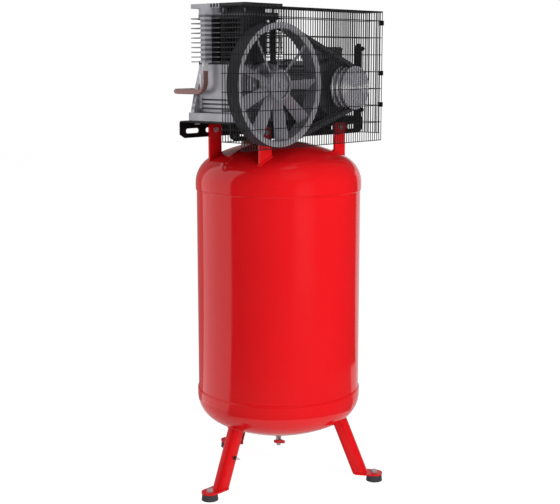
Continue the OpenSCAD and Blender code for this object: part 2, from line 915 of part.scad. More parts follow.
module pistons() {
    color("lightgray") for (i = [0, 1]) translate([crank_x, bore_ys[i], pin_z(i)]) difference() {
        translate([0, 0, -skirt_below]) cylinder(r = piston_r, h = skirt_below + crown_above);
        translate([-22, -rod_w / 2 - 2, -skirt_below - 1]) cube([44, rod_w + 4, skirt_below + 19]);
        translate([0, -bore_r, 0]) ycyl(wrist_r + fit, bore_d);
        for (j = [0, 1]) translate([0, 0, crown_above - 6 - j * 5])
            ring(bore_r + 1, ring_in - fit, ring_h + 0.2);
    }
}

module piston_fittings() {
    color("silver") for (i = [0, 1]) translate([crank_x, bore_ys[i], pin_z(i)]) {
        translate([0, -bore_r + 6, 0]) ycyl(wrist_r, bore_d - 12);
        for (j = [0, 1]) translate([0, 0, crown_above - 6 - j * 5 + 0.1]) ring(ring_r, ring_in, ring_h);
    }
}

module cylinder_block() {
    color("silver") difference() {
        union() {
            for (y = bore_ys) translate([crank_x, y, block_z]) cylinder(r = barrel_r, h = block_rise);
            for (i = [0:fin_count - 1]) pump_outline(block_z + 4 + i * fin_pitch, fin_t, fin_mid_y)
                round_rect(fin_w, fin_l, fin_round);
            pump_outline(block_z, 8, case_mid_y) round_rect(case_w, case_l, case_round);
            pump_outline(block_top - 6, 6) seat_outline();
            pump_outline(block_z + 4, block_rise - 4) tie_holes(tie_r + 5);
            translate([column_x, column_y - column_l / 2, column_low])
                cube([column_w, column_l, block_top - column_low]);
        }
        for (y = bore_ys) translate([crank_x, y, block_z - 1]) cylinder(r = bore_r, h = block_rise + 2);
        pump_outline(block_top - tie_in - 10, tie_in + 20) tie_holes(tie_clear);
    }
}

module valve_plate() {
    color("gray") pump_outline(block_top + gasket_t, valve_t) difference() {
        seat_outline();
        tie_holes(tie_clear);
        for (y = bore_ys) for (s = [-1, 1]) translate([s * 14, y - pump_y]) circle(7);
    }
}

module head_slots() {
    low = head_top - slot_depth;
    for (i = [0:3]) for (x = [-fin_w / 2 - 1, fin_w / 2 + 1 - head_slot_l])
        translate([crank_x + x, bore_ys[1] - 48 + i * head_slot_pitch, low])
            cube([head_slot_l, head_slot, slot_depth + 1]);
    for (i = [-3:3]) translate([crank_x + i * 14 - head_slot / 2, fin_front - 1, low])
        cube([head_slot, front_slot_l, slot_depth + 1]);
}

module cylinder_head() {
    rise = head_top - head_z;
    color("silver") difference() {
        union() {
            pump_outline(head_z, head_flange_t) seat_outline();
            pump_outline(head_z, rise, fin_mid_y)
                round_rect(fin_w - 2 * head_in, fin_l - 2 * head_in, seat_round);
            pump_outline(head_z, rise - 2, chamber_y) translate([-seat_w / 4, 0])
                round_rect(seat_w / 2, chamber_l, seat_round);
            translate([column_x, column_y - column_l / 2, head_z])
                cube([crank_x - column_x - tie_x, column_l, rise - 2]);
            translate([crank_x, bore_ys[1] - 20, head_z]) cube([fin_w / 2, 40, rise - 2]);
            pump_outline(head_top - head_cap_t, head_cap_t, fin_mid_y) round_rect(fin_w, fin_l, fin_round);
        }
        head_slots();
        pump_outline(head_z - 1, rise + 2) tie_holes(tie_clear);
        pump_outline(head_top - tie_sink, tie_sink + 1) tie_holes(tie_sink_r);
        translate([crank_x + fin_w / 2 - 13, bore_ys[1], filter_z]) xcyl(filter_stub_r + fit, 20);
    }
}

module pump_bolts() {
    color("silver") {
        for (sx = [-1, 1]) for (sy = [-1, 0, 1])
            translate([crank_x + sx * tie_x, pump_y + sy * tie_y, head_top - tie_sink])
                small_bolt(head_top - tie_sink - block_top + tie_in);
        for (i = [0:5]) translate([crank_x, boss_front_y - cover_t, crank_z]) rotate([0, i * 60, 0])
            translate([cover_bolt_r, 0, 0]) rotate([90, 0, 0]) scale(0.8) small_bolt(34);
    }
}

module air_filter() {
    x = crank_x + fin_w / 2;
    color("black") translate([0, bore_ys[1], filter_z]) {
        translate([x - 12, 0, 0]) xcyl(filter_stub_r, 14 + filter_gap);
        translate([x + filter_gap, 0, 0]) difference() {
            xcyl(filter_r, filter_l);
            for (i = [0:3]) translate([10 + i * 10, 0, 0]) rotate([0, 90, 0])
                ring(filter_r + 1, filter_r - 2, 4);
        }
    }
}

// Delivery pipe

module discharge_elbow() {
    color("gold") translate([pipe_x, pipe_y, column_low - elbow_h]) difference() {
        union() {
            cylinder(r = elbow_r, h = 12, $fn = 6);
            translate([0, 0, 12]) cylinder(r = elbow_r - 2, h = elbow_h - 12);
        }
        translate([0, 0, -1]) cylinder(r = pipe_r + fit, h = elbow_h - 5);
    }
}

// Quarter bend from mid + R u to mid + R v
module bend(mid, u, v) {
    n = cross(u, v);
    multmatrix([[u[0], v[0], n[0], mid[0]], [u[1], v[1], n[1], mid[1]], [u[2], v[2], n[2], mid[2]]])
        rotate_extrude(angle = 90) translate([pipe_bend, 0]) circle(pipe_r);
}

module delivery_pipe() {
    top = column_low - elbow_h + 14;
    b = pipe_bend;
    low = valve_z + socket_h + 46;
    color("peru") {
        translate([pipe_x, pipe_y, pipe_z + b]) cylinder(r = pipe_r, h = top - pipe_z - b);
        bend([pipe_x, pipe_y + b, pipe_z + b], [0, -1, 0], [0, 0, -1]);
        translate([pipe_x, pipe_y + b, pipe_z]) ycyl(pipe_r, pipe_back_y - pipe_y - 2 * b);
        bend([pipe_x + b, pipe_back_y - b, pipe_z], [-1, 0, 0], [0, 1, 0]);
        translate([pipe_x + b, pipe_back_y, pipe_z]) xcyl(pipe_r, valve_x - pipe_x - 2 * b);
        bend([valve_x - b, pipe_back_y, pipe_z - b], [0, 0, 1], [1, 0, 0]);
        translate([valve_x, pipe_back_y, pipe_z - b]) mirror([0, 0, 1])
            cylinder(r = pipe_r, h = pipe_z - b - low);
    }
}

module check_valve() {
    color("gold") translate([valve_x, pipe_back_y, valve_z + socket_h]) difference() {
        union() {
            translate([0, 0, -16]) cylinder(r = socket_bore_r - fit, h = 18);
            cylinder(r = 19, h = 20, $fn = 6);
            translate([0, 0, 20]) cylinder(r = 14, h = 22);
            translate([0, 0, 42]) cylinder(r = elbow_r, h = 14, $fn = 6);
        }
        translate([0, 0, 44]) cylinder(r = pipe_r + fit, h = 20);
        translate([0, 0, -20]) cylinder(r = 5, h = 58);
    }
}

// Flywheel, pulley and belts

// Cross section of a belt: the top edge lies at x = 0
module belt_section(grow, depth) {
    half = belt_w / 2 + grow;
    low = half - depth * tan(groove_half_a);
    polygon([[-depth, -low], [0, -half], [0, half], [-depth, low]]);
}

module belt_grooves(r) {
    for (s = [-1, 1]) translate([0, 0, wheel_w / 2 + s * belt_pitch / 2]) rotate_extrude()
        translate([r, 0]) {
            belt_section(belt_gap, groove_depth);
            translate([-0.01, -belt_w / 2 - belt_gap]) square([2, belt_w + 2 * belt_gap]);
        }
}

// One fan blade along z: an arched plate, cut to a taper that widens towards the rim
module blade(l) {
    tip_w = blade_root_w * blade_taper;
    arch = tip_w * blade_arch;
    intersection() {
        linear_extrude(l) translate([0, -sqrt(arch * arch - pow(tip_w / 3, 2))]) difference() {
            circle(arch + blade_t / 2);
            circle(arch - blade_t / 2);
        }
        translate([0, tip_w / 2, 0]) rotate([90, 0, 0]) linear_extrude(tip_w) polygon([
            [-blade_root_w / 2, 0], [blade_root_w / 2, 0], [tip_w / 2, l], [-tip_w / 2, l]]);
    }
}

module blades() {
    l = rim_in_r - hub_r + 2 * blade_bury;
    for (i = [0:blade_count - 1]) rotate([0, 0, i * 360 / blade_count])
        translate([hub_r - blade_bury, 0, wheel_w / 2]) rotate([0, 90, 0]) rotate([0, 0, blade_pitch + 90])
            blade(l);
}

// Turns a wheel that stands on z = 0 so that its front faces -Y
module facing(x, y, z) { translate([x, y, z]) rotate([90, 0, 0]) children(); }

module flywheel() {
    color("silver") facing(crank_x, wheel_back, crank_z) difference() {
        union() {
            difference() {
                ring(wheel_r, rim_in_r, wheel_w);
                belt_grooves(wheel_r);
                translate([0, 0, wheel_w - rim_chamfer])
                    cylinder(r1 = rim_in_r - 0.01, r2 = rim_in_r + rim_chamfer, h = rim_chamfer + 0.01);
            }
            cylinder(r = hub_r, h = wheel_w);
            translate([0, 0, wheel_back - hub_back]) cylinder(r = hub_neck_r, h = hub_back - wheel_back + 1);
            blades();
        }
        translate([0, 0, wheel_w - hub_recess]) cylinder(r = hub_recess_r, h = 40);
        translate([0, 0, -50]) cylinder(r = nose_r + 0.02, h = 120);
    }
}

module crank_nose() {
    front = wheel_front + hub_recess;
    color("dimgray") difference() {
        translate([crank_x, front, crank_z]) ycyl(nose_r, nose_end_y + 0.5 - front);
        translate([crank_x, front - 1, crank_z]) ycyl(6 + fit, 32);
    }
}

module flywheel_bolt() {
    color("silver") facing(crank_x, wheel_front + hub_recess, crank_z) {
        cylinder(r = bolt_washer_r, h = bolt_washer_t);
        translate([0, 0, bolt_washer_t]) cylinder(r = bolt_head_r, h = bolt_head_h, $fn = 6);
        translate([0, 0, -28]) cylinder(r = 6, h = 30);
    }
}

module motor_pulley() {
    color("silver") facing(motor_x, wheel_back, motor_z) difference() {
        cylinder(r = pulley_r, h = wheel_w);
        belt_grooves(pulley_r);
        translate([0, 0, -1]) cylinder(r = shaft_r + 0.02, h = wheel_w - 5);
        translate([0, 0, -1]) rotate_extrude() translate([28, 0]) square([20, 21]);
    }
}

module belt() {
    rotate([0, 0, wrap_a]) rotate_extrude(angle = 360 - 2 * wrap_a)
        translate([wheel_belt_r, 0]) belt_section(0, belt_h);
    translate([centre_l, 0, 0]) rotate([0, 0, -wrap_a]) rotate_extrude(angle = 2 * wrap_a)
        translate([pulley_belt_r, 0]) belt_section(0, belt_h);
    for (m = [0, 1]) mirror([0, m, 0]) rotate([0, 0, wrap_a]) translate([wheel_belt_r, 0, 0])
        rotate([90, 0, 0]) linear_extrude(run_l) belt_section(0, belt_h);
}

module drive_belts() {
    color("black") for (s = [-1, 1])
        facing(crank_x, wheel_mid + s * belt_pitch / 2, crank_z) rotate([0, 0, belt_a]) belt();
}

// Motor

motor_ring_ys = [motor_y - shield_t + 3, motor_end_y + shield_t - 3 - motor_ring_w];

module motor_foot(y, l) {
    translate([motor_x, y + l, base_z]) rotate([90, 0, 0]) linear_extrude(l) polygon([
        [-motor_foot_x - motor_foot_w / 2, 0], [motor_foot_x + motor_foot_w / 2, 0],
        [motor_foot_x + motor_foot_w / 2, motor_foot_t], [motor_foot_x - 14, motor_foot_t],
        [50, motor_h - 45], [-50, motor_h - 45],
        [-motor_foot_x + 14, motor_foot_t], [-motor_foot_x - motor_foot_w / 2, motor_foot_t]]);
}

module motor_frame() {
    color("dimgray") difference() {
        union() {
            translate([motor_x, motor_y, motor_z]) ycyl(motor_shell_r, motor_l);
            for (i = [0:motor_fins - 1]) let (a = -60 + i * 300 / (motor_fins - 1))
                if (abs(a - 90) > 34) translate([motor_x, motor_y, motor_z]) rotate([0, -a, 0])
                    translate([motor_shell_r - 4, 4, -motor_fin_t / 2])
                        cube([motor_r - motor_shell_r + 4, motor_l - 8, motor_fin_t]);
            for (y = motor_hole_ys) motor_foot(y - 18, 36);
            translate([motor_x - box_w / 2 + 8, motor_y + 2, motor_z + 40])
                cube([box_w - 16, box_y + box_l - motor_y - 8, box_z - motor_z - 40]);
        }
        translate([motor_x, motor_y - 1, motor_z]) ycyl(motor_in_r, motor_l + 2);
        for (p = motor_holes) translate([p[0], p[1], base_z - 1])
            cylinder(r = m10_clear, h = motor_foot_t + 2);
    }
}

// End shield with its bearing pocket, flange on z = 0 and the spigot pointing up
module end_shield() {
    difference() {
        union() {
            translate([0, 0, -shield_t]) cylinder(r = shield_r, h = shield_t);
            cylinder(r = motor_in_r - fit, h = spigot);
        }
        translate([0, 0, -shield_t + 3]) cylinder(r = motor_ring_r + fit, h = shield_t + spigot);
        translate([0, 0, -shield_t - 1]) cylinder(r = seat_r + 1, h = 20);
        translate([0, 0, 2]) ring(motor_in_r - 6, motor_ring_r + 6, spigot);
    }
}

module motor_end_shields() {
    color("dimgray") {
        translate([motor_x, motor_y, motor_z]) rotate([-90, 0, 0]) end_shield();
        translate([motor_x, motor_end_y, motor_z]) rotate([90, 0, 0]) end_shield();
    }
}

module fan_cover() {
    l = cover_end_y - motor_end_y;
    color("dimgray") translate([motor_x, motor_end_y + 0.5, motor_z]) rotate([-90, 0, 0]) difference() {
        cylinder(r = shield_r + fit + cover_sheet, h = l);
        translate([0, 0, -1]) cylinder(r = shield_r + fit, h = l + 1 - cover_sheet);
        for (i = [0:17]) rotate([0, 0, i * 20]) translate([22, -3, l - 10]) cube([44, 6, 20]);
    }
}

module terminal_box() {
    color("dimgray") translate([motor_x, box_y + box_l / 2, box_z]) difference() {
        linear_extrude(box_h) round_rect(box_w, box_l, 8);
        translate([0, 0, box_wall]) linear_extrude(box_h)
            round_rect(box_w - 2 * box_wall, box_l - 2 * box_wall, 5);
        translate([box_w / 2 - 10, 0, box_h / 2]) xcyl(8, 20);
    }
}

module terminal_lid() {
    color("dimgray") translate([motor_x, box_y + box_l / 2, box_z + box_h]) {
        linear_extrude(box_lid_t - 3) round_rect(box_w + 2, box_l + 2, 9);
        linear_extrude(box_lid_t) round_rect(box_w - 8, box_l - 8, 6);
    }
}

module stator_core() {
    y = motor_y + (motor_l - core_l) / 2;
    color("darkgray") translate([motor_x, y, motor_z]) rotate([-90, 0, 0]) difference() {
        ring(motor_in_r - fit, core_r + core_gap, core_l);
        for (i = [0:23]) rotate([0, 0, i * 15]) translate([core_r + 4, -2, -1]) cube([12, 4, core_l + 2]);
    }
}

module rotor() {
    y = motor_y + (motor_l - core_l) / 2;
    color("silver") translate([motor_x, 0, motor_z]) {
        translate([0, wheel_front + 8, 0]) ycyl(shaft_r, fan_y + fan_w - wheel_front - 8);
        translate([0, motor_ring_ys[0] - 2, 0])
            ycyl(seat_r, motor_ring_ys[1] - motor_ring_ys[0] + motor_ring_w + 4);
        translate([0, y, 0]) ycyl(core_r, core_l);
    }
}

module motor_fan() {
    color("black") translate([motor_x, fan_y, motor_z]) rotate([-90, 0, 0]) difference() {
        union() {
            cylinder(r = 22, h = fan_w - 4);
            cylinder(r = fan_r - 10, h = 3);
            for (i = [0:fan_blades - 1]) rotate([0, 0, i * 360 / fan_blades])
                translate([16, -1.5, 0]) cube([fan_r - 16, 3, fan_w]);
        }
        translate([0, 0, -1]) cylinder(r = shaft_r + 0.02, h = fan_w + 2);
    }
}

// Guard

// Upright wires in the x-y plane, from 0 to h along y
module uprights(xs, h) {
    for (x = xs) translate([x, 0, 0]) rotate([-90, 0, 0]) cylinder(r = wire_r, h = h, $fn = 16);
}

// Level wires behind the uprights, from x0 to x1
module level_wires(ys, x0, x1) {
    for (y = ys) translate([x0, y, -wire_d - cross_gap]) rotate([0, 90, 0])
        cylinder(r = wire_r, h = x1 - x0, $fn = 16);
}

// Heights of the level wires above the bottom of a panel
function levels(h) = concat([wire_r], [for (z = [h - level_top_in:-level_pitch:20]) z], [h - wire_r]);

wide_xs = [for (i = [0:wire_gaps]) i * wire_step];

// Stands a panel up: its front faces -Y
module upright_panel(low) {
    translate([-guard_left_x, 0, low]) rotate([90, 0, 0]) children();
}

module wide_panel(h) {
    uprights(wide_xs, h);
    level_wires(levels(h), -wire_r, guard_w + wire_r);
}

module guard_front() {
    color("black") translate([0, guard_front_y, 0]) upright_panel(guard_low_z)
        wide_panel(guard_top_z - guard_low_z);
}

// Opening in the back panel between the nearest wires around a shaft
module opening(x, z, s) {
    x0 = floor((x - s / 2 + guard_left_x) / wire_step) * wire_step - guard_left_x;
    x1 = ceil((x + s / 2 + guard_left_x) / wire_step) * wire_step - guard_left_x;
    top = guard_top_z - level_top_in;
    z0 = top - ceil((top - z + s / 2) / level_pitch) * level_pitch;
    z1 = top - floor((top - z - s / 2) / level_pitch) * level_pitch;
    r = wire_r + cross_gap;
    translate([x0 + r, guard_back_y - 10, z0 + r]) cube([x1 - x0 - 2 * r, 20, z1 - z0 - 2 * r]);
}

module guard_back() {
    color("black") difference() {
        translate([0, guard_back_y, 0]) upright_panel(side_low_z) wide_panel(guard_top_z - side_low_z);
        opening(crank_x, crank_z, crank_hole);
        opening(motor_x, motor_z, shaft_hole);
    }
}

// Side panel, seen from outside: its level wires run from the front panel to the back panel
module side_panel() {
    h = guard_top_z - side_low_z;
    n = round(guard_depth / wire_pitch);
    uprights([for (i = [1:n - 1]) i * guard_depth / n], h);
    front = wire_d + cross_gap + wire_r + cross_gap;
    level_wires(levels(h), front, guard_depth + wire_r);
}

module guard_left() {
    color("black") translate([-guard_left_x, guard_front_y, side_low_z]) mirror([0, 1, 0])
        rotate([90, 0, -90]) side_panel();
}

module guard_right() {
    color("black") translate([guard_right_x, guard_front_y, side_low_z]) rotate([90, 0, 90]) side_panel();
}

module guard_top_panel() {
    l = guard_depth + 2 * wire_d + cross_gap;
    reach = wire_d + cross_gap + wire_r + cross_gap;
    color("black") translate([-guard_left_x, guard_front_y - wire_r, guard_top_z + wire_r + cross_gap]) {
        uprights(wide_xs, l);
        level_wires([for (i = [1:6]) i * l / 7], reach, guard_w - reach);
    }
}

// Spacer bolt that holds the back panel off a plate whose front face is at from_y
module stay(x, z, from_y, grip) {
    y = guard_back_y + wire_r + cross_gap;
    face = guard_back_y - wire_r - cross_gap - 2;
    translate([x, y, z]) ycyl(stay_r + 3, from_y - y);
    translate([x, face, z]) ycyl(stay_r, from_y + grip + 8 - face);
    translate([x, face, z]) ycyl(7, 2);
    translate([x, from_y + grip, z]) rotate([-90, 0, 0]) cylinder(r = 6, h = 5, $fn = 6);
}

// Bolt that holds the strap on the plate's flange
module strap_bolt(z) {
    face = plate_front - strap_t;
    translate([strap_x, face - 4, z]) rotate([-90, 0, 0]) cylinder(r = 6, h = 4, $fn = 6);
    translate([strap_x, face - 1, z]) ycyl(stay_r, strap_t + plate_t + 8);
    translate([strap_x, plate_front + plate_t, z]) rotate([-90, 0, 0]) cylinder(r = 6, h = 5, $fn = 6);
}

module guard_strap() {
    low = plate_low + 6;
    translate([strap_x, plate_front, 0]) rotate([90, 0, 0]) linear_extrude(strap_t) difference() {
        union() {
            translate([-strap_w / 2, low]) square([strap_w, strap_top - strap_w / 2 - low]);
            translate([0, strap_top - strap_w / 2]) circle(strap_w / 2);
        }
        for (z = concat(strap_zs, stay_zs)) translate([0, z]) circle(stay_r + 0.5);
    }
}

// Clip that folds round the edge of the front panel and the right panel
module guard_clip(z) {
    x = guard_right_x + wire_r + 0.3;
    y = guard_front_y - wire_r - 0.3;
    translate([0, 0, z]) linear_extrude(clip_h) {
        translate([x, y - clip_t]) square([clip_t, clip_l]);
        translate([x - 12, y - clip_t]) square([12 + clip_t, clip_t]);
    }
}

module guard_fixings() {
    color("dimgray") {
        guard_strap();
        for (z = strap_zs) strap_bolt(z);
        for (z = stay_zs) stay(strap_x, z, plate_front - strap_t, strap_t);
        stay(stay_left_x, stay_low_z, plate_front, plate_t);
        for (z = clip_zs) guard_clip(z);
    }
}

// Manifold, switch, gauge and valves at the back of the tank

// Places a piece at the manifold: x points away from the tank
module at_manifold() {
    rotate([0, 0, manifold_a]) translate([manifold_r, 0, manifold_z]) children();
}

module manifold() {
    color("gold") at_manifold() difference() {
        union() {
            translate([-socket_out + 6, 0, 0]) xcyl(tank_bore_r - fit, socket_out);
            translate([0, -block_h / 2, -block_h / 2]) cube([block_w, block_h, block_h]);
        }
        translate([-30, 0, 0]) xcyl(7, block_w + 10);
        translate([block_w / 2, 0, 0]) cylinder(r = 6 + fit, h = 40);
        translate([block_w - 10, 0, 0]) xcyl(6 + fit, 20);
        translate([block_w / 2, 0, 0]) ycyl(8 + fit, 40);
        translate([block_w / 2, -40, 0]) ycyl(10 + fit, 40);
    }
}

module pressure_switch() {
    color("dimgray") at_manifold() translate([block_w / 2, 0, block_h / 2]) {
        translate([0, 0, -12]) cylinder(r = 6, h = 14);
        cylinder(r = 13, h = switch_stem, $fn = 6);
        translate([0, 0, switch_stem]) linear_extrude(switch_base_h) round_rect(switch_w, switch_l, 8);
    }
}

switch_top = block_h / 2 + switch_stem + switch_base_h;

module switch_cover() {
    color("black") at_manifold() translate([block_w / 2, 0, switch_top]) difference() {
        linear_extrude(switch_cover_h) round_rect(switch_w - 4, switch_l - 4, 8);
        translate([0, 0, -1]) linear_extrude(switch_cover_h - 2)
            round_rect(switch_w - 10, switch_l - 10, 5);
        cylinder(r = knob_stem_r + run, h = 100);
    }
}

module switch_knob() {
    color("red") at_manifold() translate([block_w / 2, 0, switch_top + switch_cover_h]) {
        translate([0, 0, 0.5]) cylinder(r1 = knob_r - 2, r2 = knob_r, h = knob_h);
        translate([0, 0, -22]) cylinder(r = knob_stem_r, h = 24);
    }
}

module pressure_gauge() {
    color("black") at_manifold() translate([block_w, 0, 0]) difference() {
        union() {
            translate([-9, 0, 0]) xcyl(6, gauge_stem + 9);
            translate([gauge_stem, 0, 0]) xcyl(gauge_r, gauge_l);
        }
        translate([gauge_stem + 12, 0, 0]) xcyl(gauge_r - 2, gauge_l);
        translate([gauge_stem + 4, 0, 0]) xcyl(1.5 + run, 20);
    }
}

module gauge_glass() {
    color("lightblue") at_manifold() translate([block_w + gauge_stem + gauge_l - 3, 0, 0])
        xcyl(gauge_r - 2 - fit, 2.5);
}

module gauge_needle() {
    color("black") at_manifold() translate([block_w + gauge_stem, 0, 0]) {
        translate([5, 0, 0]) xcyl(1.5, 11);
        translate([14, 0, 0]) rotate([135, 0, 0]) translate([0, -1, -6]) cube([1.2, 2, gauge_r - 1]);
        translate([14, 0, 0]) xcyl(3, 1.2);
    }
}

module safety_valve() {
    color("gold") at_manifold() translate([block_w / 2, block_h / 2, 0]) difference() {
        union() {
            translate([0, -10, 0]) ycyl(8, 12);
            rotate([-90, 0, 0]) cylinder(r = 12, h = 12, $fn = 6);
            translate([0, 12, 0]) ycyl(safety_r, safety_l - 12);
        }
        translate([0, 8, 0]) ycyl(safety_stem_r + run, 60);
    }
}

module safety_ring() {
    color("silver") at_manifold() translate([block_w / 2, block_h / 2 + safety_l, 0]) {
        translate([0, -20, 0]) ycyl(safety_stem_r, 26);
        translate([0, 15, 0]) rotate_extrude() translate([10, 0]) circle(1.5);
    }
}

module outlet_valve() {
    end = -block_h / 2 - valve_l;
    color("silver") at_manifold() translate([block_w / 2, 0, 0]) difference() {
        union() {
            translate([0, -block_h / 2 - 2, 0]) ycyl(10, 12);
            translate([0, end, 0]) ycyl(valve_r, valve_l);
            translate([0, end, 0]) rotate([-90, 0, 0]) cylinder(r = valve_r + 3, h = 14, $fn = 6);
            translate([0, -block_h / 2 - 14, 0]) rotate([-90, 0, 0])
                cylinder(r = valve_r + 3, h = 14, $fn = 6);
            translate([0, end + valve_l / 2, 0]) cylinder(r = lever_stem_r + 4, h = valve_r + 8);
        }
        translate([0, end - 1, 0]) ycyl(outlet_r, outlet_l + 1);
        translate([0, end, 0]) ycyl(7, 18);
        translate([0, end + valve_l / 2, valve_r - 2]) cylinder(r = lever_stem_r + run, h = 30);
    }
}

module outlet_lever() {
    color("red") at_manifold() translate([block_w / 2, -block_h / 2 - valve_l / 2, valve_r]) {
        cylinder(r = lever_stem_r, h = 14);
        translate([0, -lever_l / 2 + 8, 8.5]) linear_extrude(4) round_rect(16, lever_l, 7.9);
    }
}

place() tank_shell();
place() tank_top_head();
place() tank_bottom_head();
place() left_leg();
place() right_leg();
place() rear_leg();
place() rubber_feet();
place() drain_valve();
place() drain_lever();
place() support_posts();
place() base_plate();
place() frame_bolts();
place() crankcase();
place() front_cover();
place() sight_glass();
place() oil_filler();
place() ball_bearings();
place() seals();
place() crank_throw();
place() con_rods();
place() pistons();
place() piston_fittings();
place() cylinder_block();
place() valve_plate();
place() cylinder_head();
place() pump_bolts();
place() air_filter();
place() discharge_elbow();
place() delivery_pipe();
place() check_valve();
place() flywheel();
place() crank_nose();
place() flywheel_bolt();
place() motor_frame();
place() motor_end_shields();
place() fan_cover();
place() terminal_box();
place() terminal_lid();
place() stator_core();
place() rotor();
place() motor_fan();
place() motor_pulley();
place() drive_belts();
place() guard_front();
place() guard_back();
place() guard_left();
place() guard_right();
place() guard_top_panel();
place() guard_fixings();
place() manifold();
place() pressure_switch();
place() switch_cover();
place() switch_knob();
place() pressure_gauge();
place() gauge_glass();
place() gauge_needle();
place() safety_valve();
place() safety_ring();
place() outlet_valve();
place() outlet_lever();
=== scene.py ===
# %% [markdown]
# # An upright workshop compressor
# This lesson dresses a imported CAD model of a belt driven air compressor: a red receiver on splayed
# legs, a twin cylinder pump, a fan flywheel, a motor and a wire belt guard. The CAD parts hold the
# sizes and the motion. Blender adds the finish of each surface and the small modelled details.

# %% Start
import json
import math

import bmesh
import bpy
from mathutils import Matrix, Vector
from mathutils.bvhtree import BVHTree

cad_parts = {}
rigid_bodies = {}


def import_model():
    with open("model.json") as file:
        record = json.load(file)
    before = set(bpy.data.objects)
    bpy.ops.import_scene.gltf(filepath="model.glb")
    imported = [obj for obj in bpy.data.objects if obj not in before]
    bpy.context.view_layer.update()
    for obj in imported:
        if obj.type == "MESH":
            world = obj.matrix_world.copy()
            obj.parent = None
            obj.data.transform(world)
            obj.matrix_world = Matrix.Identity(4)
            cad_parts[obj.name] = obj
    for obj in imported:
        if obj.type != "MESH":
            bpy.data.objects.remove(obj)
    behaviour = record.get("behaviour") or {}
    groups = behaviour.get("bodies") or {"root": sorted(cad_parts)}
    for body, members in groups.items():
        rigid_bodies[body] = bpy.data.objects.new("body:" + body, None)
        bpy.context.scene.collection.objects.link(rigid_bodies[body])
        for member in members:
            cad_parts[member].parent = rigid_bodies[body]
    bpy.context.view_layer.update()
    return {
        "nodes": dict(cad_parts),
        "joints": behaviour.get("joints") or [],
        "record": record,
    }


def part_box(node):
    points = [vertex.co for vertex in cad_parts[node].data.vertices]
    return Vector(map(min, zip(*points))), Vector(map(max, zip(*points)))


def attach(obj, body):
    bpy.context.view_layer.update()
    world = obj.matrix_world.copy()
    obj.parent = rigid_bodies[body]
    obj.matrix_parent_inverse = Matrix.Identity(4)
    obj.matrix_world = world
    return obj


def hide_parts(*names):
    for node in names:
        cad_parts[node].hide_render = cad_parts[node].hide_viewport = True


for thing in list(bpy.data.objects):
    bpy.data.objects.remove(thing)
scene = bpy.context.scene
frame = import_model()
nodes = frame["nodes"]
print("nodes loaded:", len(nodes))

# %% [markdown]
# ## Landmarks
# Every size that a new piece needs is read from the frame, so the pieces stay in place when the CAD
# model changes. The tank's own axis is the middle of its bottom head, and the wheel's axis is a joint.

# %% Landmarks from the frame


def middle(node):
    """The middle of a CAD part's box."""
    low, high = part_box(node)
    return (low + high) / 2


bowl_low, bowl_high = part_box("tank_bottom_head")
tank_axis = (bowl_low + bowl_high) / 2
tank_radius = (bowl_high.x - bowl_low.x) / 2
joint_place = {j["name"]: Vector(j["pos_m"]) for j in frame["joints"] if "pos_m" in j}
wheel_axis = joint_place["flywheel_spin"]
print("tank radius in metres:", round(tank_radius, 4))

# %% [markdown]
# ## Camera
# The photograph was taken from the pump's side, a little above the pump, with a long lens that keeps
# the tank's sides nearly upright. The camera stands on a bearing from the tank's axis and looks
# slightly down. A Track To constraint could aim it, but plain angles that were fitted to the tank's
# sides and the wheel give the same picture every time.

# %% Camera
VIEW_BEARING = math.radians(-47.95)
VIEW_DROP = math.radians(9.5)
CAMERA_FROM_AXIS = Vector((-2.583, -2.336, 0))
CAMERA_HEIGHT = 1.293
LENS = 73.8


def put(name, data):
    """A new object at the origin, linked to the scene."""
    thing = bpy.data.objects.new(name, data)
    scene.collection.objects.link(thing)
    return thing


camera_data = bpy.data.cameras.new("camera")
camera_data.lens = LENS
camera_data.sensor_width = 36
camera_data.sensor_fit = "HORIZONTAL"
camera = put("camera", camera_data)
camera.location = Vector((tank_axis.x, tank_axis.y, CAMERA_HEIGHT)) + CAMERA_FROM_AXIS
camera.rotation_euler = (math.pi / 2 - VIEW_DROP, 0, VIEW_BEARING)
scene.camera = camera
print("camera at", [round(v, 3) for v in camera.location])

# %% [markdown]
# ## Studio
# A product photograph on white needs a pale floor, a pale surround and big soft lamps. Camera rays
# see the surround and most of the floor as plain white, while the object itself is lit by the lamps
# at an ordinary level. Part of the floor's look stays diffuse, so it keeps a soft shadow.

# %% Studio helpers


def joined(tree, operation, first, second):
    """A Math node's result; each input is a socket or a number."""
    node = tree.nodes.new("ShaderNodeMath")
    node.operation = operation
    for socket, value in zip(node.inputs, (first, second)):
        if isinstance(value, (int, float)):
            socket.default_value = value
        else:
            tree.links.new(value, socket)
    return node.outputs[0]


def seen_rays(tree, gloss_share):
    """1 for camera rays and a share of that for glossy and transmission rays: they see the surround."""
    path = tree.nodes.new("ShaderNodeLightPath").outputs
    other = joined(tree, "MAXIMUM", path["Is Glossy Ray"], path["Is Transmission Ray"])
    return joined(tree, "MAXIMUM", path["Is Camera Ray"], joined(tree, "MULTIPLY", other, gloss_share))


def empty_material(name):
    """A material with only its output node, and the tree to fill."""
    mat = bpy.data.materials.new(name)
    mat.use_nodes = True
    mat.node_tree.nodes.clear()
    return mat, mat.node_tree, mat.node_tree.nodes.new("ShaderNodeOutputMaterial")


print("studio helpers ready")

# %% [markdown]
# ## Floor
# The floor is a wide disc. A shadow catcher could hold the shadow alone, but a real floor also shows
# in the paint, as it does in a studio. Its material mixes a white glow with a diffuse grey by the
# kind of ray that sees it.

# %% Floor
FLOOR_RADIUS = 14.0
FLOOR_SIDES = 96
FLOOR_GLOW_SHARE = 0.75
FLOOR_GLOW = 1.24
FLOOR_IN_GLOSS = 0.25
FLOOR_GREY = (0.82, 0.82, 0.82, 1)


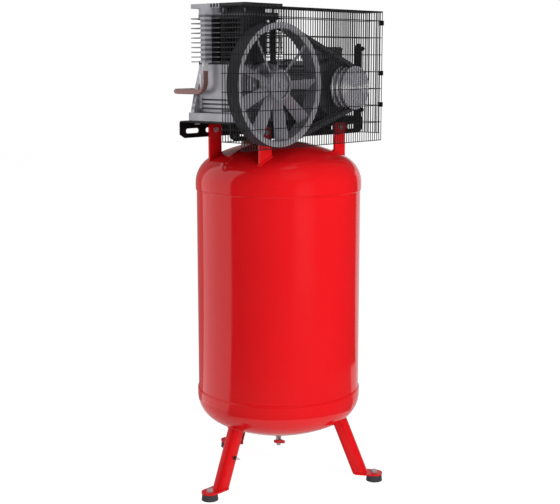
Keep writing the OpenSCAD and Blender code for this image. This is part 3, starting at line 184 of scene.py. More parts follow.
def floor_material():
    """White to the camera, with a diffuse share that holds the shadow."""
    mat, tree, out = empty_material("studio_floor")
    mix = tree.nodes.new("ShaderNodeMixShader")
    diffuse = tree.nodes.new("ShaderNodeBsdfDiffuse")
    diffuse.inputs["Color"].default_value = FLOOR_GREY
    glow = tree.nodes.new("ShaderNodeEmission")
    glow.inputs["Strength"].default_value = FLOOR_GLOW
    share = joined(tree, "MULTIPLY", seen_rays(tree, FLOOR_IN_GLOSS), FLOOR_GLOW_SHARE)
    tree.links.new(share, mix.inputs["Fac"])
    tree.links.new(diffuse.outputs[0], mix.inputs[1])
    tree.links.new(glow.outputs[0], mix.inputs[2])
    tree.links.new(mix.outputs[0], out.inputs["Surface"])
    return mat


floor_mesh = bpy.data.meshes.new("studio_floor")
floor_shape = bmesh.new()
bmesh.ops.create_circle(floor_shape, cap_ends=True, radius=FLOOR_RADIUS, segments=FLOOR_SIDES)
floor_shape.to_mesh(floor_mesh)
floor_shape.free()
floor = put("studio_floor", floor_mesh)
floor_mesh.materials.append(floor_material())
print("floor radius in metres:", FLOOR_RADIUS)

# %% [markdown]
# ## Surround
# A picture of a studio could surround the scene. Plain white needs no file, and the same switch by
# kind of ray shows it at full strength to the camera and to reflections, while the object is lit by
# only a third of it.

# %% Surround
SURROUND_LIGHT = 0.32
world = bpy.data.worlds.new("studio")
scene.world = world
world.use_nodes = True
sky = world.node_tree
back = sky.nodes["Background"]
back.inputs["Color"].default_value = (1, 1, 1, 1)
level = sky.nodes.new("ShaderNodeMapRange")
level.inputs["To Min"].default_value = SURROUND_LIGHT
level.inputs["To Max"].default_value = 1.0
sky.links.new(seen_rays(sky, 1.0), level.inputs["Value"])
sky.links.new(level.outputs["Result"], back.inputs["Strength"])
print("surround light:", SURROUND_LIGHT)

# %% [markdown]
# ## Cards
# Glossy paint shows whatever stands in front of it. In a white room the tank would look milky, so a
# photographer stands a dark card round the camera, and the paint keeps its deep red. A white card at
# each side gives the pale bands along the tank's edges, and a grey one behind calms the rest. Flat
# cards would leave gaps in a round tank's reflection, so each card is a profile that is spun part of
# the way round. Only reflections see it, so it takes no light from the object.

# %% Cards
DARK_PROFILE = [(1.5, 0.004), (3.0, 0.004), (3.0, 3.4), (0.9, 4.6)]
PALE_PROFILE = [(0.8, 0.004), (3.1, 0.004), (3.1, 3.4)]
MAT_PROFILE = [(0.5, 0.004), (1.5, 0.004)]
LOW_PALE_PROFILE = [(0.8, 0.004), (3.1, 0.004), (3.1, 1.5)]
HIGH_DARK_PROFILE = [(3.1, 1.5), (3.0, 3.4), (0.9, 4.6)]
CARD_STEPS = 64


def card_material(name, brightness):
    """An even glow that isn't sampled as a lamp."""
    mat, tree, out = empty_material(name)
    glow = tree.nodes.new("ShaderNodeEmission")
    glow.inputs["Strength"].default_value = brightness
    tree.links.new(glow.outputs[0], out.inputs["Surface"])
    mat.cycles.emission_sampling = "NONE"
    return mat


def studio_card(name, profile, bearing, turn, brightness):
    """A sheet with this profile (distance and height), spun round the tank from a bearing."""
    shape = bmesh.new()
    centre = Vector((tank_axis.x, tank_axis.y, 0))
    way = Vector((math.cos(math.radians(bearing)), math.sin(math.radians(bearing)), 0))
    corners = [shape.verts.new(centre + way * out + Vector((0, 0, up))) for out, up in profile]
    sides = [shape.edges.new(pair) for pair in zip(corners, corners[1:])]
    bmesh.ops.spin(shape, geom=corners + sides, cent=centre, axis=(0, 0, 1),
                   angle=math.radians(turn), steps=CARD_STEPS)
    mesh = bpy.data.meshes.new(name)
    shape.to_mesh(mesh)
    shape.free()
    mesh.materials.append(card_material(name, brightness))
    card = put(name, mesh)
    card.visible_camera = card.visible_diffuse = False
    card.visible_shadow = card.visible_transmission = False


studio_card("dark_card", DARK_PROFILE, bearing=156, turn=202, brightness=0.05)
studio_card("dark_mat", MAT_PROFILE, bearing=156, turn=184, brightness=0.12)
studio_card("right_card", LOW_PALE_PROFILE, bearing=359, turn=39, brightness=0.72)
studio_card("right_top_card", HIGH_DARK_PROFILE, bearing=358, turn=40, brightness=0.1)
studio_card("grey_card", PALE_PROFILE, bearing=38, turn=56, brightness=0.22)
studio_card("left_card", PALE_PROFILE, bearing=94, turn=62, brightness=0.95)
print("cards ready")

# %% [markdown]
# ## Lamps
# The key lamp is a large soft box at the right of the camera, so the tank darkens gently to its left.
# A second one behind the left shoulder lifts the tank's far edge, and one overhead keeps the pump's
# faces apart. Point lamps would throw hard shadows through the guard's wires, so all are area lamps.
# They don't show in reflections, because the cards give the paint its highlights.

# %% Lamps


def soft_box(name, bearing, distance, height, width, tall, power, aim_height):
    """An area lamp on a bearing round the tank, turned to the tank's axis."""
    data = bpy.data.lights.new(name, "AREA")
    data.shape = "RECTANGLE"
    data.size = width
    data.size_y = tall
    data.energy = power
    lamp = put(name, data)
    turn = math.radians(bearing)
    lamp.location = (tank_axis.x + distance * math.cos(turn),
                     tank_axis.y + distance * math.sin(turn), height)
    aim = Vector((tank_axis.x, tank_axis.y, aim_height)) - lamp.location
    lamp.rotation_euler = aim.to_track_quat("-Z", "Y").to_euler()
    lamp.visible_glossy = False


soft_box("key_box", bearing=258, distance=3.4, height=1.1, width=1.6, tall=2.2, power=72,
         aim_height=0.8)
soft_box("left_box", bearing=110, distance=3.0, height=1.1, width=1.2, tall=2.0, power=48,
         aim_height=0.8)
soft_box("top_box", bearing=250, distance=2.2, height=3.4, width=1.8, tall=1.8, power=20,
         aim_height=1.0)
scene.view_settings.view_transform = "Standard"

# %% [markdown]
# ## Material helpers
# Each finish starts from a Principled shader. Noise on Object coordinates gives it colour drift,
# uneven gloss and a fine surface. Pictures could do that too, but noise has no seams and needs no
# unwrapping. The helpers keep each material to a few lines.

# %% Material helpers
NOISE_LOW = 0.3
NOISE_HIGH = 0.7


class Finish:
    """A node material with a Principled shader and short ways to add noise to it."""

    def __init__(self, name, color, roughness, metallic=0.0):
        self.mat = bpy.data.materials.new(name)
        self.mat.use_nodes = True
        self.tree = self.mat.node_tree
        self.shader = self.tree.nodes["Principled BSDF"]
        self.color = color
        self.shader.inputs["Base Color"].default_value = (*color, 1)
        self.shader.inputs["Roughness"].default_value = roughness
        self.shader.inputs["Metallic"].default_value = metallic
        self.coords = self.tree.nodes.new("ShaderNodeTexCoord")
        self.normal = None

    def set(self, **sockets):
        """Sets the shader's sockets by name, with _ for a space."""
        for name, value in sockets.items():
            self.shader.inputs[name.replace("_", " ")].default_value = value
        return self

    def noise(self, scale, detail=4.0, stretch=(1, 1, 1)):
        """A noise in metres, finer along an axis with a larger stretch."""
        place = self.tree.nodes.new("ShaderNodeMapping")
        place.inputs["Scale"].default_value = stretch
        self.tree.links.new(self.coords.outputs["Object"], place.inputs["Vector"])
        tex = self.tree.nodes.new("ShaderNodeTexNoise")
        tex.inputs["Scale"].default_value = scale
        tex.inputs["Detail"].default_value = detail
        self.tree.links.new(place.outputs["Vector"], tex.inputs["Vector"])
        return tex.outputs["Fac"]

    def drift(self, source, other, low=0.35, high=0.65):
        """Colour runs from the finish's own colour to another one along a noise."""
        ramp = self.tree.nodes.new("ShaderNodeValToRGB")
        ramp.color_ramp.elements[0].position = low
        ramp.color_ramp.elements[1].position = high
        ramp.color_ramp.elements[0].color = (*self.color, 1)
        ramp.color_ramp.elements[1].color = (*other, 1)
        self.tree.links.new(source, ramp.inputs["Fac"])
        self.tree.links.new(ramp.outputs["Color"], self.shader.inputs["Base Color"])
        return self

    def gloss(self, source, low, high):
        """Roughness runs between two values along a noise."""
        span = self.tree.nodes.new("ShaderNodeMapRange")
        span.inputs["From Min"].default_value = NOISE_LOW
        span.inputs["From Max"].default_value = NOISE_HIGH
        span.inputs["To Min"].default_value = low
        span.inputs["To Max"].default_value = high
        self.tree.links.new(source, span.inputs["Value"])
        self.tree.links.new(span.outputs["Result"], self.shader.inputs["Roughness"])
        return self

    def bump(self, source, distance, strength=1.0):
        """Adds relief; several calls stack up."""
        node = self.tree.nodes.new("ShaderNodeBump")
        node.inputs["Distance"].default_value = distance
        node.inputs["Strength"].default_value = strength
        self.tree.links.new(source, node.inputs["Height"])
        if self.normal is not None:
            self.tree.links.new(self.normal, node.inputs["Normal"])
        self.normal = node.outputs["Normal"]
        self.tree.links.new(self.normal, self.shader.inputs["Normal"])
        return self


print("material helpers ready")

# %% [markdown]
# ## Paints
# The receiver is sprayed in glossy red enamel, which dries with a faint orange peel. The base plate
# and the guard are powder coated black, a duller skin with a fine grain. Peel and grain are far too
# small to model, so a bump from noise stands for them.

# %% Paints
enamel = Finish("red_enamel", (0.80, 0.008, 0.0115), 0.1)
enamel.drift(enamel.noise(3.0), (0.775, 0.0075, 0.011))
enamel.gloss(enamel.noise(9.0), 0.08, 0.14)
enamel.bump(enamel.noise(160.0, 2.0), 0.0003, 0.04)

leg_enamel = Finish("leg_enamel", (0.76, 0.0075, 0.011), 0.12)
leg_enamel.set(Specular_IOR_Level=0.22)
leg_enamel.drift(leg_enamel.noise(12.0), (0.70, 0.007, 0.010))
leg_enamel.gloss(leg_enamel.noise(30.0), 0.1, 0.2)
leg_enamel.bump(leg_enamel.noise(160.0, 2.0), 0.0003, 0.06)

powder = Finish("black_powder", (0.0035, 0.0035, 0.0037), 0.5)
powder.set(Specular_IOR_Level=0.3)
powder.drift(powder.noise(30.0), (0.006, 0.006, 0.0063))
powder.gloss(powder.noise(60.0), 0.42, 0.6)
powder.bump(powder.noise(700.0, 2.0), 0.0002, 0.3)

wire_coat = Finish("wire_coating", (0.014, 0.0139, 0.0155), 0.5)
wire_coat.set(Specular_IOR_Level=0.35)
wire_coat.drift(wire_coat.noise(80.0), (0.02, 0.0198, 0.022))
wire_coat.gloss(wire_coat.noise(120.0), 0.42, 0.6)

motor_paint = Finish("motor_paint", (0.085, 0.084, 0.092), 0.45)
motor_paint.drift(motor_paint.noise(40.0), (0.108, 0.107, 0.117))
motor_paint.gloss(motor_paint.noise(90.0), 0.38, 0.55)
motor_paint.bump(motor_paint.noise(350.0, 3.0), 0.0004, 0.25)
print("paints ready")

# %% [markdown]
# ## Cast and turned metal
# A casting has a sandy skin with blotchy colour, and a turned face has fine lines across its axis.
# On the pulley these lines would spread the light into a bow tie, and here that bow tie is a painted
# highlight: two bright wedges in the colour, worked out from the angle round the pulley's axis. An
# anisotropic shader could do it with light, but it needs lamps that show in reflections, and these
# don't.

# %% Cast and turned metal
LATHE_LINES = (1, 30, 1)
# The painted highlight's wedges narrow as this power grows.
HIGHLIGHT_FOCUS = 36.0


def cast_metal(name, color, other, roughness, metallic=0.7, grain=260.0):
    """A cast skin: blotchy colour, uneven gloss and a sandy relief."""
    cast = Finish(name, color, roughness, metallic)
    cast.drift(cast.noise(14.0), other)
    cast.gloss(cast.noise(45.0), roughness - 0.08, roughness + 0.1)
    cast.bump(cast.noise(grain, 3.0), 0.0004, 0.3)
    return cast


def painted_lathe_highlight(finish, axis_spot, bright):
    """A painted highlight: two bright wedges in the colour at the sides of a turned face, where the
    tool's rings would spread a lamp's light.
    """
    tree = finish.tree
    split = tree.nodes.new("ShaderNodeSeparateXYZ")
    tree.links.new(finish.coords.outputs["Object"], split.inputs["Vector"])
    across = joined(tree, "SUBTRACT", split.outputs["X"], axis_spot.x)
    up = joined(tree, "SUBTRACT", split.outputs["Z"], axis_spot.z)
    level_share = joined(tree, "COSINE", joined(tree, "ARCTAN2", up, across), 0.0)
    wedge = joined(tree, "POWER", joined(tree, "ABSOLUTE", level_share, 0.0), HIGHLIGHT_FOCUS)
    finish.drift(wedge, bright, 0.0, 1.0)


def turned_metal(name, color, roughness, metallic=0.85):
    """Machined metal: fine lines across the turning axis. Its colour drift is added by the caller."""
    turned = Finish(name, color, roughness, metallic)
    turned.gloss(turned.noise(40.0, 3.0, LATHE_LINES), roughness - 0.06, roughness + 0.1)
    turned.bump(turned.noise(60.0, 2.0, LATHE_LINES), 0.0002, 0.2)
    return turned


print("metal helpers ready")

# %% [markdown]
# ## Metals
# The pump is cast aluminium, bright at the rear, with painted shade between its fins. The wheel and
# the pulley are castings that were turned. The bolts are zinc plated, and the delivery pipe is copper
# that has darkened by touch and heat. Each metal is a colour pair and a gloss, because the helpers do
# the rest.

# %% Metals
case_metal = cast_metal("case_casting", (0.56, 0.552, 0.60), (0.46, 0.454, 0.49), 0.4, 0.6)
head_metal = cast_metal("head_casting", (0.60, 0.592, 0.64), (0.52, 0.513, 0.555), 0.5, 0.2)
# A near-black finish: the front of the pump, the wheel's outer wall and the left leg's stud.
near_black_metal = cast_metal("near_black_metal", (0.040, 0.0395, 0.0435), (0.056, 0.055, 0.061), 0.55, 0.3)
# Near black: painted shade for the gaps between the fins and the slots in the head's top.
painted_shade_metal = cast_metal("painted_shade_casting", (0.03, 0.0295, 0.033), (0.05, 0.049, 0.054), 0.6, 0.3)
# Darker casting colour: the valve plate's own dull finish, and painted shade in the crankcase's rib
# grooves, on the wheel's inner walls and among the rear block's fins and column ribs.
dull_and_shaded_metal = cast_metal("dull_and_shaded_casting", (0.30, 0.296, 0.325), (0.20, 0.197, 0.217), 0.5, 0.4, 180.0)
wheel_metal = cast_metal("wheel_casting", (0.56, 0.553, 0.60), (0.48, 0.474, 0.515), 0.42, 0.5)
rim_metal = turned_metal("rim_turning", (0.66, 0.652, 0.70), 0.34, 0.5)
rim_metal.drift(rim_metal.noise(20.0), (0.58, 0.573, 0.615))
pulley_metal = turned_metal("pulley_turning", (0.50, 0.493, 0.535), 0.45, 0.3)
# The pulley's bow tie of light is a painted highlight in its colour.
painted_lathe_highlight(pulley_metal, joint_place["rotor_spin"], (0.98, 0.975, 0.99))
steel = turned_metal("bright_steel", (0.56, 0.555, 0.58), 0.3)
steel.drift(steel.noise(20.0), (0.48, 0.475, 0.50))
zinc = Finish("zinc_plate", (0.72, 0.715, 0.73), 0.32, 0.6)
zinc.drift(zinc.noise(50.0), (0.62, 0.615, 0.63))
zinc.gloss(zinc.noise(150.0), 0.25, 0.42)
# Near white and mostly diffuse: on the elbow and the crankcase bar this is a painted highlight, as the
# lamps don't show in reflections.
nickel_and_highlight = Finish("nickel_painted_highlight", (0.94, 0.935, 0.95), 0.16, 0.25)
nickel_and_highlight.drift(nickel_and_highlight.noise(40.0), (0.87, 0.865, 0.88))
nickel_and_highlight.gloss(nickel_and_highlight.noise(120.0), 0.12, 0.26)
copper = Finish("copper_tube", (0.36, 0.195, 0.18), 0.26, 0.4)
copper.drift(copper.noise(18.0), (0.30, 0.155, 0.142))
copper.gloss(copper.noise(40.0), 0.24, 0.32)
copper.bump(copper.noise(120.0, 2.0), 0.0002, 0.04)
brass = Finish("brass_fitting", (0.60, 0.43, 0.17), 0.32, 0.9)
brass.drift(brass.noise(30.0), (0.50, 0.35, 0.14))
brass.gloss(brass.noise(90.0), 0.26, 0.42)
old_brass = Finish("dark_brass", (0.20, 0.155, 0.085), 0.45, 0.8)
old_brass.drift(old_brass.noise(30.0), (0.14, 0.11, 0.065))
old_brass.gloss(old_brass.noise(90.0), 0.38, 0.55)
print("metals ready")

# %% [markdown]
# ## Rubber, plastics and glass
# The feet and belts are matt rubber with a slightly chalky skin. The caps, the fan and the switch
# are moulded plastic, and the gauge has a clear front. A Glass shader could make the clear pieces,
# but with transmission in the same shader they can use the helpers of the other finishes.

# %% Rubber, plastics and glass
rubber = Finish("black_rubber", (0.036, 0.0355, 0.040), 0.75)
rubber.drift(rubber.noise(35.0), (0.054, 0.053, 0.059))
rubber.gloss(rubber.noise(70.0), 0.66, 0.85)
rubber.bump(rubber.noise(500.0, 3.0), 0.0003, 0.4)

plastic = Finish("black_moulding", (0.014, 0.014, 0.015), 0.45)
plastic.drift(plastic.noise(25.0), (0.02, 0.02, 0.022))
plastic.gloss(plastic.noise(60.0), 0.38, 0.52)
plastic.bump(plastic.noise(900.0, 2.0), 0.0001, 0.4)

red_plastic = Finish("red_moulding", (0.55, 0.012, 0.014), 0.35)
red_plastic.drift(red_plastic.noise(25.0), (0.47, 0.01, 0.012))
red_plastic.gloss(red_plastic.noise(60.0), 0.3, 0.42)

glass = Finish("clear_front", (0.95, 0.97, 0.96), 0.04)
glass.set(Transmission_Weight=1.0, IOR=1.47)
glass.gloss(glass.noise(20.0), 0.02, 0.07)

oil_glass = Finish("oil_window", (0.72, 0.55, 0.2), 0.08)
oil_glass.set(Transmission_Weight=0.7, IOR=1.47)
oil_glass.gloss(oil_glass.noise(20.0), 0.05, 0.12)
print("soft and clear finishes ready")

# %% [markdown]
# ## Dressing the CAD parts
# Each finish lists the CAD parts that wear it. A line for each part would do as well, but by finish
# the list is shorter and shows which parts match. A CAD part's mesh stays as it is, and only its
# material slot changes.

# %% Dress the CAD parts
WEARS = {
    enamel: ["tank_shell", "tank_top_head", "tank_bottom_head", "support_posts"],
    leg_enamel: ["left_leg", "right_leg", "rear_leg"],
    powder: ["base_plate", "guard_fixings"],
    wire_coat: ["guard_front", "guard_back", "guard_left", "guard_right", "guard_top_panel"],
    motor_paint: ["motor_frame", "motor_end_shields", "fan_cover", "terminal_box", "terminal_lid"],
    case_metal: ["crankcase", "front_cover", "cylinder_head", "cylinder_block", "pistons"],
    wheel_metal: ["flywheel"],
    pulley_metal: ["motor_pulley"],
    steel: ["crank_nose", "ball_bearings", "piston_fittings", "rotor", "stator_core", "con_rods",
            "crank_throw", "safety_ring", "outlet_valve", "drain_valve"],
    dull_and_shaded_metal: ["valve_plate"],
    zinc: ["frame_bolts", "pump_bolts", "flywheel_bolt"],
    nickel_and_highlight: ["discharge_elbow"],
    copper: ["delivery_pipe"],
    brass: ["manifold", "safety_valve"],
    old_brass: ["check_valve"],
    rubber: ["rubber_feet", "drive_belts", "seals"],
    plastic: ["air_filter", "oil_filler", "motor_fan", "pressure_switch", "switch_cover",
              "pressure_gauge", "gauge_needle"],
    red_plastic: ["switch_knob", "drain_lever", "outlet_lever"],
    glass: ["gauge_glass"],
    oil_glass: ["sight_glass"],
}
dressed = 0
for finish, names in WEARS.items():
    for name in names:
        mesh = nodes[name].data
        mesh.materials.clear()
        mesh.materials.append(finish.mat)
        dressed += 1
print("dressed parts:", dressed, "of", len(nodes))

# %% [markdown]
# ## Copies of CAD parts
# Some parts need more than one finish, or the rounded edges that a casting has. A copy of such a
# part is merged into one skin, its flat faces are joined, and a narrow bevel rounds its sharp edges,
# so they catch the light. A Bevel modifier could do this, but the operator leaves a plain mesh whose
# new faces take the finish beside them.

# %% Copies of CAD parts
MERGE_WITHIN = 1e-5
FLAT_TURN = math.radians(0.5)
SOFT_TURN = math.radians(40)


def copied(node):
    """A merged copy of a CAD part's mesh, with its flat faces joined."""
    shape = bmesh.new()
    shape.from_mesh(nodes[node].data)
    bmesh.ops.remove_doubles(shape, verts=shape.verts, dist=MERGE_WITHIN)
    bmesh.ops.dissolve_limit(shape, angle_limit=FLAT_TURN, verts=shape.verts, edges=shape.edges)
    return shape


def soften(shape, width):
    """Rounds the edges that turn by more than a set angle."""
    sharp = [e for e in shape.edges if e.is_manifold and e.calc_face_angle() > SOFT_TURN]
    bmesh.ops.bevel(shape, geom=sharp, offset=width, offset_type="OFFSET", segments=2, profile=0.5,
                    affect="EDGES", clamp_overlap=True, material=-1)
    return shape


def boxed(shape, low, high):
    """Adds a box between two corners to a shape and returns its corners."""
    corners = bmesh.ops.create_cube(shape, size=1.0)["verts"]
    bmesh.ops.scale(shape, vec=high - low, verts=corners)
    bmesh.ops.translate(shape, vec=(low + high) / 2, verts=corners)
    return corners


def cut_at(shape, spot, way):
    """Cuts all faces of a shape along a plane, and keeps both sides."""
    bmesh.ops.bisect_plane(shape, geom=shape.verts[:] + shape.edges[:] + shape.faces[:],
                           plane_co=spot, plane_no=way)


print("helpers for copies ready")

# %% [markdown]
# ## Pieces
# A finished shape becomes an object that rides on a body, and a copy is then shown in place of its
# CAD part. The shading is smooth up to a crease. Weighted normals keep the large faces flat in shade
# beside their bevels, which plain smooth shading would not.

# %% Pieces
CREASE_TURN = math.radians(32)
body_of = {node: body for body, held in frame["record"]["behaviour"]["bodies"].items() for node in held}


def finished(name, shape, finishes, body):
    """Turns a shape into an object with its finishes, riding on a body."""
    mesh = bpy.data.meshes.new(name)
    shape.to_mesh(mesh)
    shape.free()
    for finish in finishes:
        mesh.materials.append(finish.mat)
    mesh.shade_smooth()
    mesh.set_sharp_from_angle(angle=CREASE_TURN)
    piece = put(name, mesh)
    even = piece.modifiers.new("even_normals", "WEIGHTED_NORMAL")
    even.keep_sharp = True
    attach(piece, body)
    return piece


def stand_in(name, node, shape, finishes):
    """A finished copy that is shown in place of its CAD part."""
    piece = finished(name, shape, finishes, body_of[node])
    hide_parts(node)
    print(name, "faces:", len(piece.data.polygons))


print("helpers for pieces ready")

# %% [markdown]
# ## Pump castings
# The rear of the pump is bare aluminium and its front takes a near-black finish, so a clean line runs
# up the block and the head. A mask in the material could draw it, but a cut stays sharp at any
# distance, so both copies are cut along that line, and each face takes the finish of its side. At the
# rear, the gaps between the fins and the slots in the head's top are a near-black painted shade, and
# the rest of the block takes a darker colour that stands for the shade among its fins and ribs.

# %% Pump castings
LINE_AHEAD = 0.010
CASTING_LINE = middle("cylinder_block").y - LINE_AHEAD
FACE_MARGIN = 0.001
SLOT_DEPTH = 0.0115
CASTING_EDGE = 0.0005
FACING = 0.9
CASTING_FINISHES = [head_metal, near_black_metal, painted_shade_metal, dull_and_shaded_metal]
head_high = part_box("cylinder_head")[1]
block_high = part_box("cylinder_block")[1]
fin_left = 2 * wheel_axis.x - block_high.x


def is_between_fins(spot):
    """True inside the outline of the fins, which the column at their left stands out of."""
    return (fin_left + FACE_MARGIN < spot.x < block_high.x - FACE_MARGIN
            and CASTING_LINE < spot.y < block_high.y - FACE_MARGIN)


def is_in_slot(spot, way):
    """True on the walls and floors of the slots that are cut in the head's top."""
    if not (head_high.z - SLOT_DEPTH < spot.z < head_high.z - FACE_MARGIN and spot.y > CASTING_LINE):
        return False
    return way.z > FACING or (abs(way.y) > FACING and spot.y < head_high.y - FACE_MARGIN)


for node in ("cylinder_block", "cylinder_head"):
    shape = copied(node)
    cut_at(shape, (0, CASTING_LINE, 0), (0, 1, 0))
    is_block = node == "cylinder_block"
    for face in shape.faces:
        spot = face.calc_center_bounds()
        # Painted shade: the gaps between the fins and the walls and floors of the head's slots are near
        # black.
        in_shade = is_between_fins(spot) if is_block else is_in_slot(spot, face.normal)
        if in_shade:
            finish = painted_shade_metal
        elif spot.y < CASTING_LINE:
            finish = near_black_metal
        else:
            # The rest of the rear block takes the darker colour, painted shade among its fins and ribs.
            finish = dull_and_shaded_metal if is_block else head_metal
        face.material_index = CASTING_FINISHES.index(finish)
    stand_in("cast_" + node, node, soften(shape, CASTING_EDGE), CASTING_FINISHES)

# %% [markdown]
# ## Crankcase
# The crankcase is one plain casting with rounded edges. Low ribs cross the foot of its left wall, and
# the copy is cut at their levels, so that the strips between them can take a darker finish, a painted
# shade in the grooves. The levels are read from the ribs themselves, so the strips follow when the
# ribs move.

# %% Crankcase
CASE_FINISHES = [case_metal, dull_and_shaded_metal]
RIB_HEIGHTS = (0.001, 0.003)
LEAST_AREA = 0.0009
FLAT_FACING = 0.99
CASE_EDGE = 0.0012
shape = copied("crankcase")
walls = [f for f in shape.faces if f.normal.x < -FLAT_FACING and f.calc_area() > LEAST_AREA]
wall = max(walls, key=lambda f: f.calc_area())
wall_x = wall.verts[0].co.x
foot_top = min(v.co.z for v in wall.verts)
ribs = [f for f in walls if RIB_HEIGHTS[0] < wall_x - f.verts[0].co.x < RIB_HEIGHTS[1]]
rib_rear = max(v.co.y for f in ribs for v in f.verts)
bands = sorted((min(v.co.z for v in f.verts), max(v.co.z for v in f.verts)) for f in ribs)
gaps = [(foot_top, bands[0][0])] + [(low[1], high[0]) for low, high in zip(bands, bands[1:])]
for height in sorted({height for gap in gaps for height in gap}):
    cut_at(shape, (0, 0, height), (0, 0, 1))
for face in shape.faces:
    spot = face.calc_center_bounds()
    on_wall = abs(spot.x - wall_x) < FACE_MARGIN / 2 and face.normal.x < -FACING
    # Painted shade: the strips between the ribs take the darker finish.
    if on_wall and any(low < spot.z < high for low, high in gaps):
        face.material_index = CASE_FINISHES.index(dull_and_shaded_metal)
print("crankcase ribs:", len(bands))
stand_in("cast_crankcase", "crankcase", soften(shape, CASE_EDGE), CASE_FINISHES)

# %% [markdown]
# ## Crankcase bar
# A narrow bar closes the ribs at the rear. Its near-white finish is a painted highlight along that
# edge of the wall. It could be a brighter strip of the wall, but its rounded edges catch the light, so
# it is a thin box that stands a little proud.

# %% Crankcase bar
BAR_WIDTH = 0.009
BAR_PAST_RIBS = 0.004
BAR_PROUD = 0.002
BAR_DEEP = 0.003
BAR_HEIGHTS = (0.011, 0.11)
BAR_EDGE = 0.0010
bar_rear = rib_rear + BAR_PAST_RIBS
shape = bmesh.new()
boxed(shape, Vector((wall_x - BAR_PROUD, bar_rear - BAR_WIDTH, foot_top + BAR_HEIGHTS[0])),
      Vector((wall_x + BAR_DEEP, bar_rear, foot_top + BAR_HEIGHTS[1])))
# The bar's near-white finish is a painted highlight.
finished("case_bar", soften(shape, BAR_EDGE), [nickel_and_highlight], "tank")
print("bar height in metres:", BAR_HEIGHTS[1] - BAR_HEIGHTS[0])

# %% [markdown]
# ## Column ribs
# The cast column at the block's left carries the fins across its face as low ribs. Each fin's level
# is read from the block, and a rib there is a box that takes in the column. Boxes are enough, because
# only their rounded edges stand out.

# %% Column ribs
RIB_PROUD = 0.0022
RIB_OVER = 0.0022
RIB_EDGE = 0.0020
FIN_END = 0.0003
COLUMN_OUT = 0.002
fin_spots = [v.co for v in nodes["cylinder_block"].data.vertices]
fin_levels = sorted({round(c.z, 4) for c in fin_spots if c.x > block_high.x - FIN_END})
column_spots = [c for c in fin_spots if c.x < fin_left - COLUMN_OUT]
column_low = Vector([min(c[axis] for c in column_spots) for axis in range(3)])
column_high = Vector([max(c[axis] for c in column_spots) for axis in range(3)])
shape = bmesh.new()
for under, over in zip(fin_levels[::2], fin_levels[1::2]):
    boxed(shape, Vector((column_low.x - RIB_PROUD, column_low.y - RIB_PROUD, under - RIB_OVER)),
          Vector((fin_left + RIB_PROUD, column_high.y + RIB_PROUD, over + RIB_OVER)))
finished("column_ribs", soften(shape, RIB_EDGE), [head_metal], "tank")
print("fin levels:", len(fin_levels) // 2)

# %% [markdown]
# ## Flywheel
# The wheel is a casting that was turned only where the belts and the front ring need it. The copy is
# coloured face by face: a bright front ring, a near-black outer wall with the grooves, and a painted
# shade on the inner wall behind the blades and on the wall of the hub's recess. Faces are told apart
# by their distance from the axis and the way they point, because their numbers change with every new
# CAD model.

# %% Flywheel
WHEEL_FINISHES = [wheel_metal, rim_metal, near_black_metal, dull_and_shaded_metal]
WHEEL_RIM = 0.0175
HUB_RECESS = (0.030, 0.0365)
RING_FACING = 0.6
WALL_FACING = 0.3
wheel_low, wheel_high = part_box("flywheel")
wheel_radius = wheel_high.z - wheel_axis.z
wheel_front = wheel_low.y


def reach(spot):
    """Distance from the wheel's axis."""
    return math.hypot(spot.x - wheel_axis.x, spot.z - wheel_axis.z)


shape = copied("flywheel")
for face in shape.faces:
    near = min(reach(v.co) for v in face.verts)
    far = max(reach(v.co) for v in face.verts)
    spot = face.calc_center_bounds()
    way = Vector((spot.x - wheel_axis.x, 0, spot.z - wheel_axis.z))
    outward = face.normal.dot(way.normalized())
    on_rim = near > wheel_radius - WHEEL_RIM
    on_front = min(v.co.y for v in face.verts) < wheel_front + FACE_MARGIN
    on_hub_wall = HUB_RECESS[0] < near and far < HUB_RECESS[1] and abs(face.normal.y) < WALL_FACING
    if on_rim and on_front and face.normal.y < -RING_FACING:
        finish = rim_metal
    # Painted shade on the hub's recess wall and on the rim's inner wall behind the blades.
    elif on_hub_wall or (on_rim and outward < -WALL_FACING):
        finish = dull_and_shaded_metal
    else:
        finish = near_black_metal if on_rim else wheel_metal
    face.material_index = WHEEL_FINISHES.index(finish)
stand_in("fan_flywheel", "flywheel", shape, WHEEL_FINISHES)

# %% [markdown]
# ## Rounded parts
# Folded plates, legs and bolts have slightly rounded edges, and that is where gloss shows first.
# These copies only get a narrow bevel, each as wide as its sheet or casting would have it.

# %% Rounded parts
LEG_EDGE = 0.0012
PLATE_EDGE = 0.0008
BOLT_EDGE = 0.0005
ROUNDED = {"right_leg": (LEG_EDGE, leg_enamel), "rear_leg": (LEG_EDGE, leg_enamel),
           "support_posts": (PLATE_EDGE, enamel), "base_plate": (PLATE_EDGE, powder),
           "frame_bolts": (BOLT_EDGE, zinc), "flywheel_bolt": (PLATE_EDGE, zinc)}
for node, (width, finish) in ROUNDED.items():
    stand_in("rounded_" + node, node, soften(copied(node), width), [finish])

# %% [markdown]
# ## Left leg
# The left leg carries a short stud of dark steel with a bright tip. A new stud could be put over it,
# but the CAD leg already holds one, so the copy's own stud takes the finishes and is drawn out a
# little along its axis.

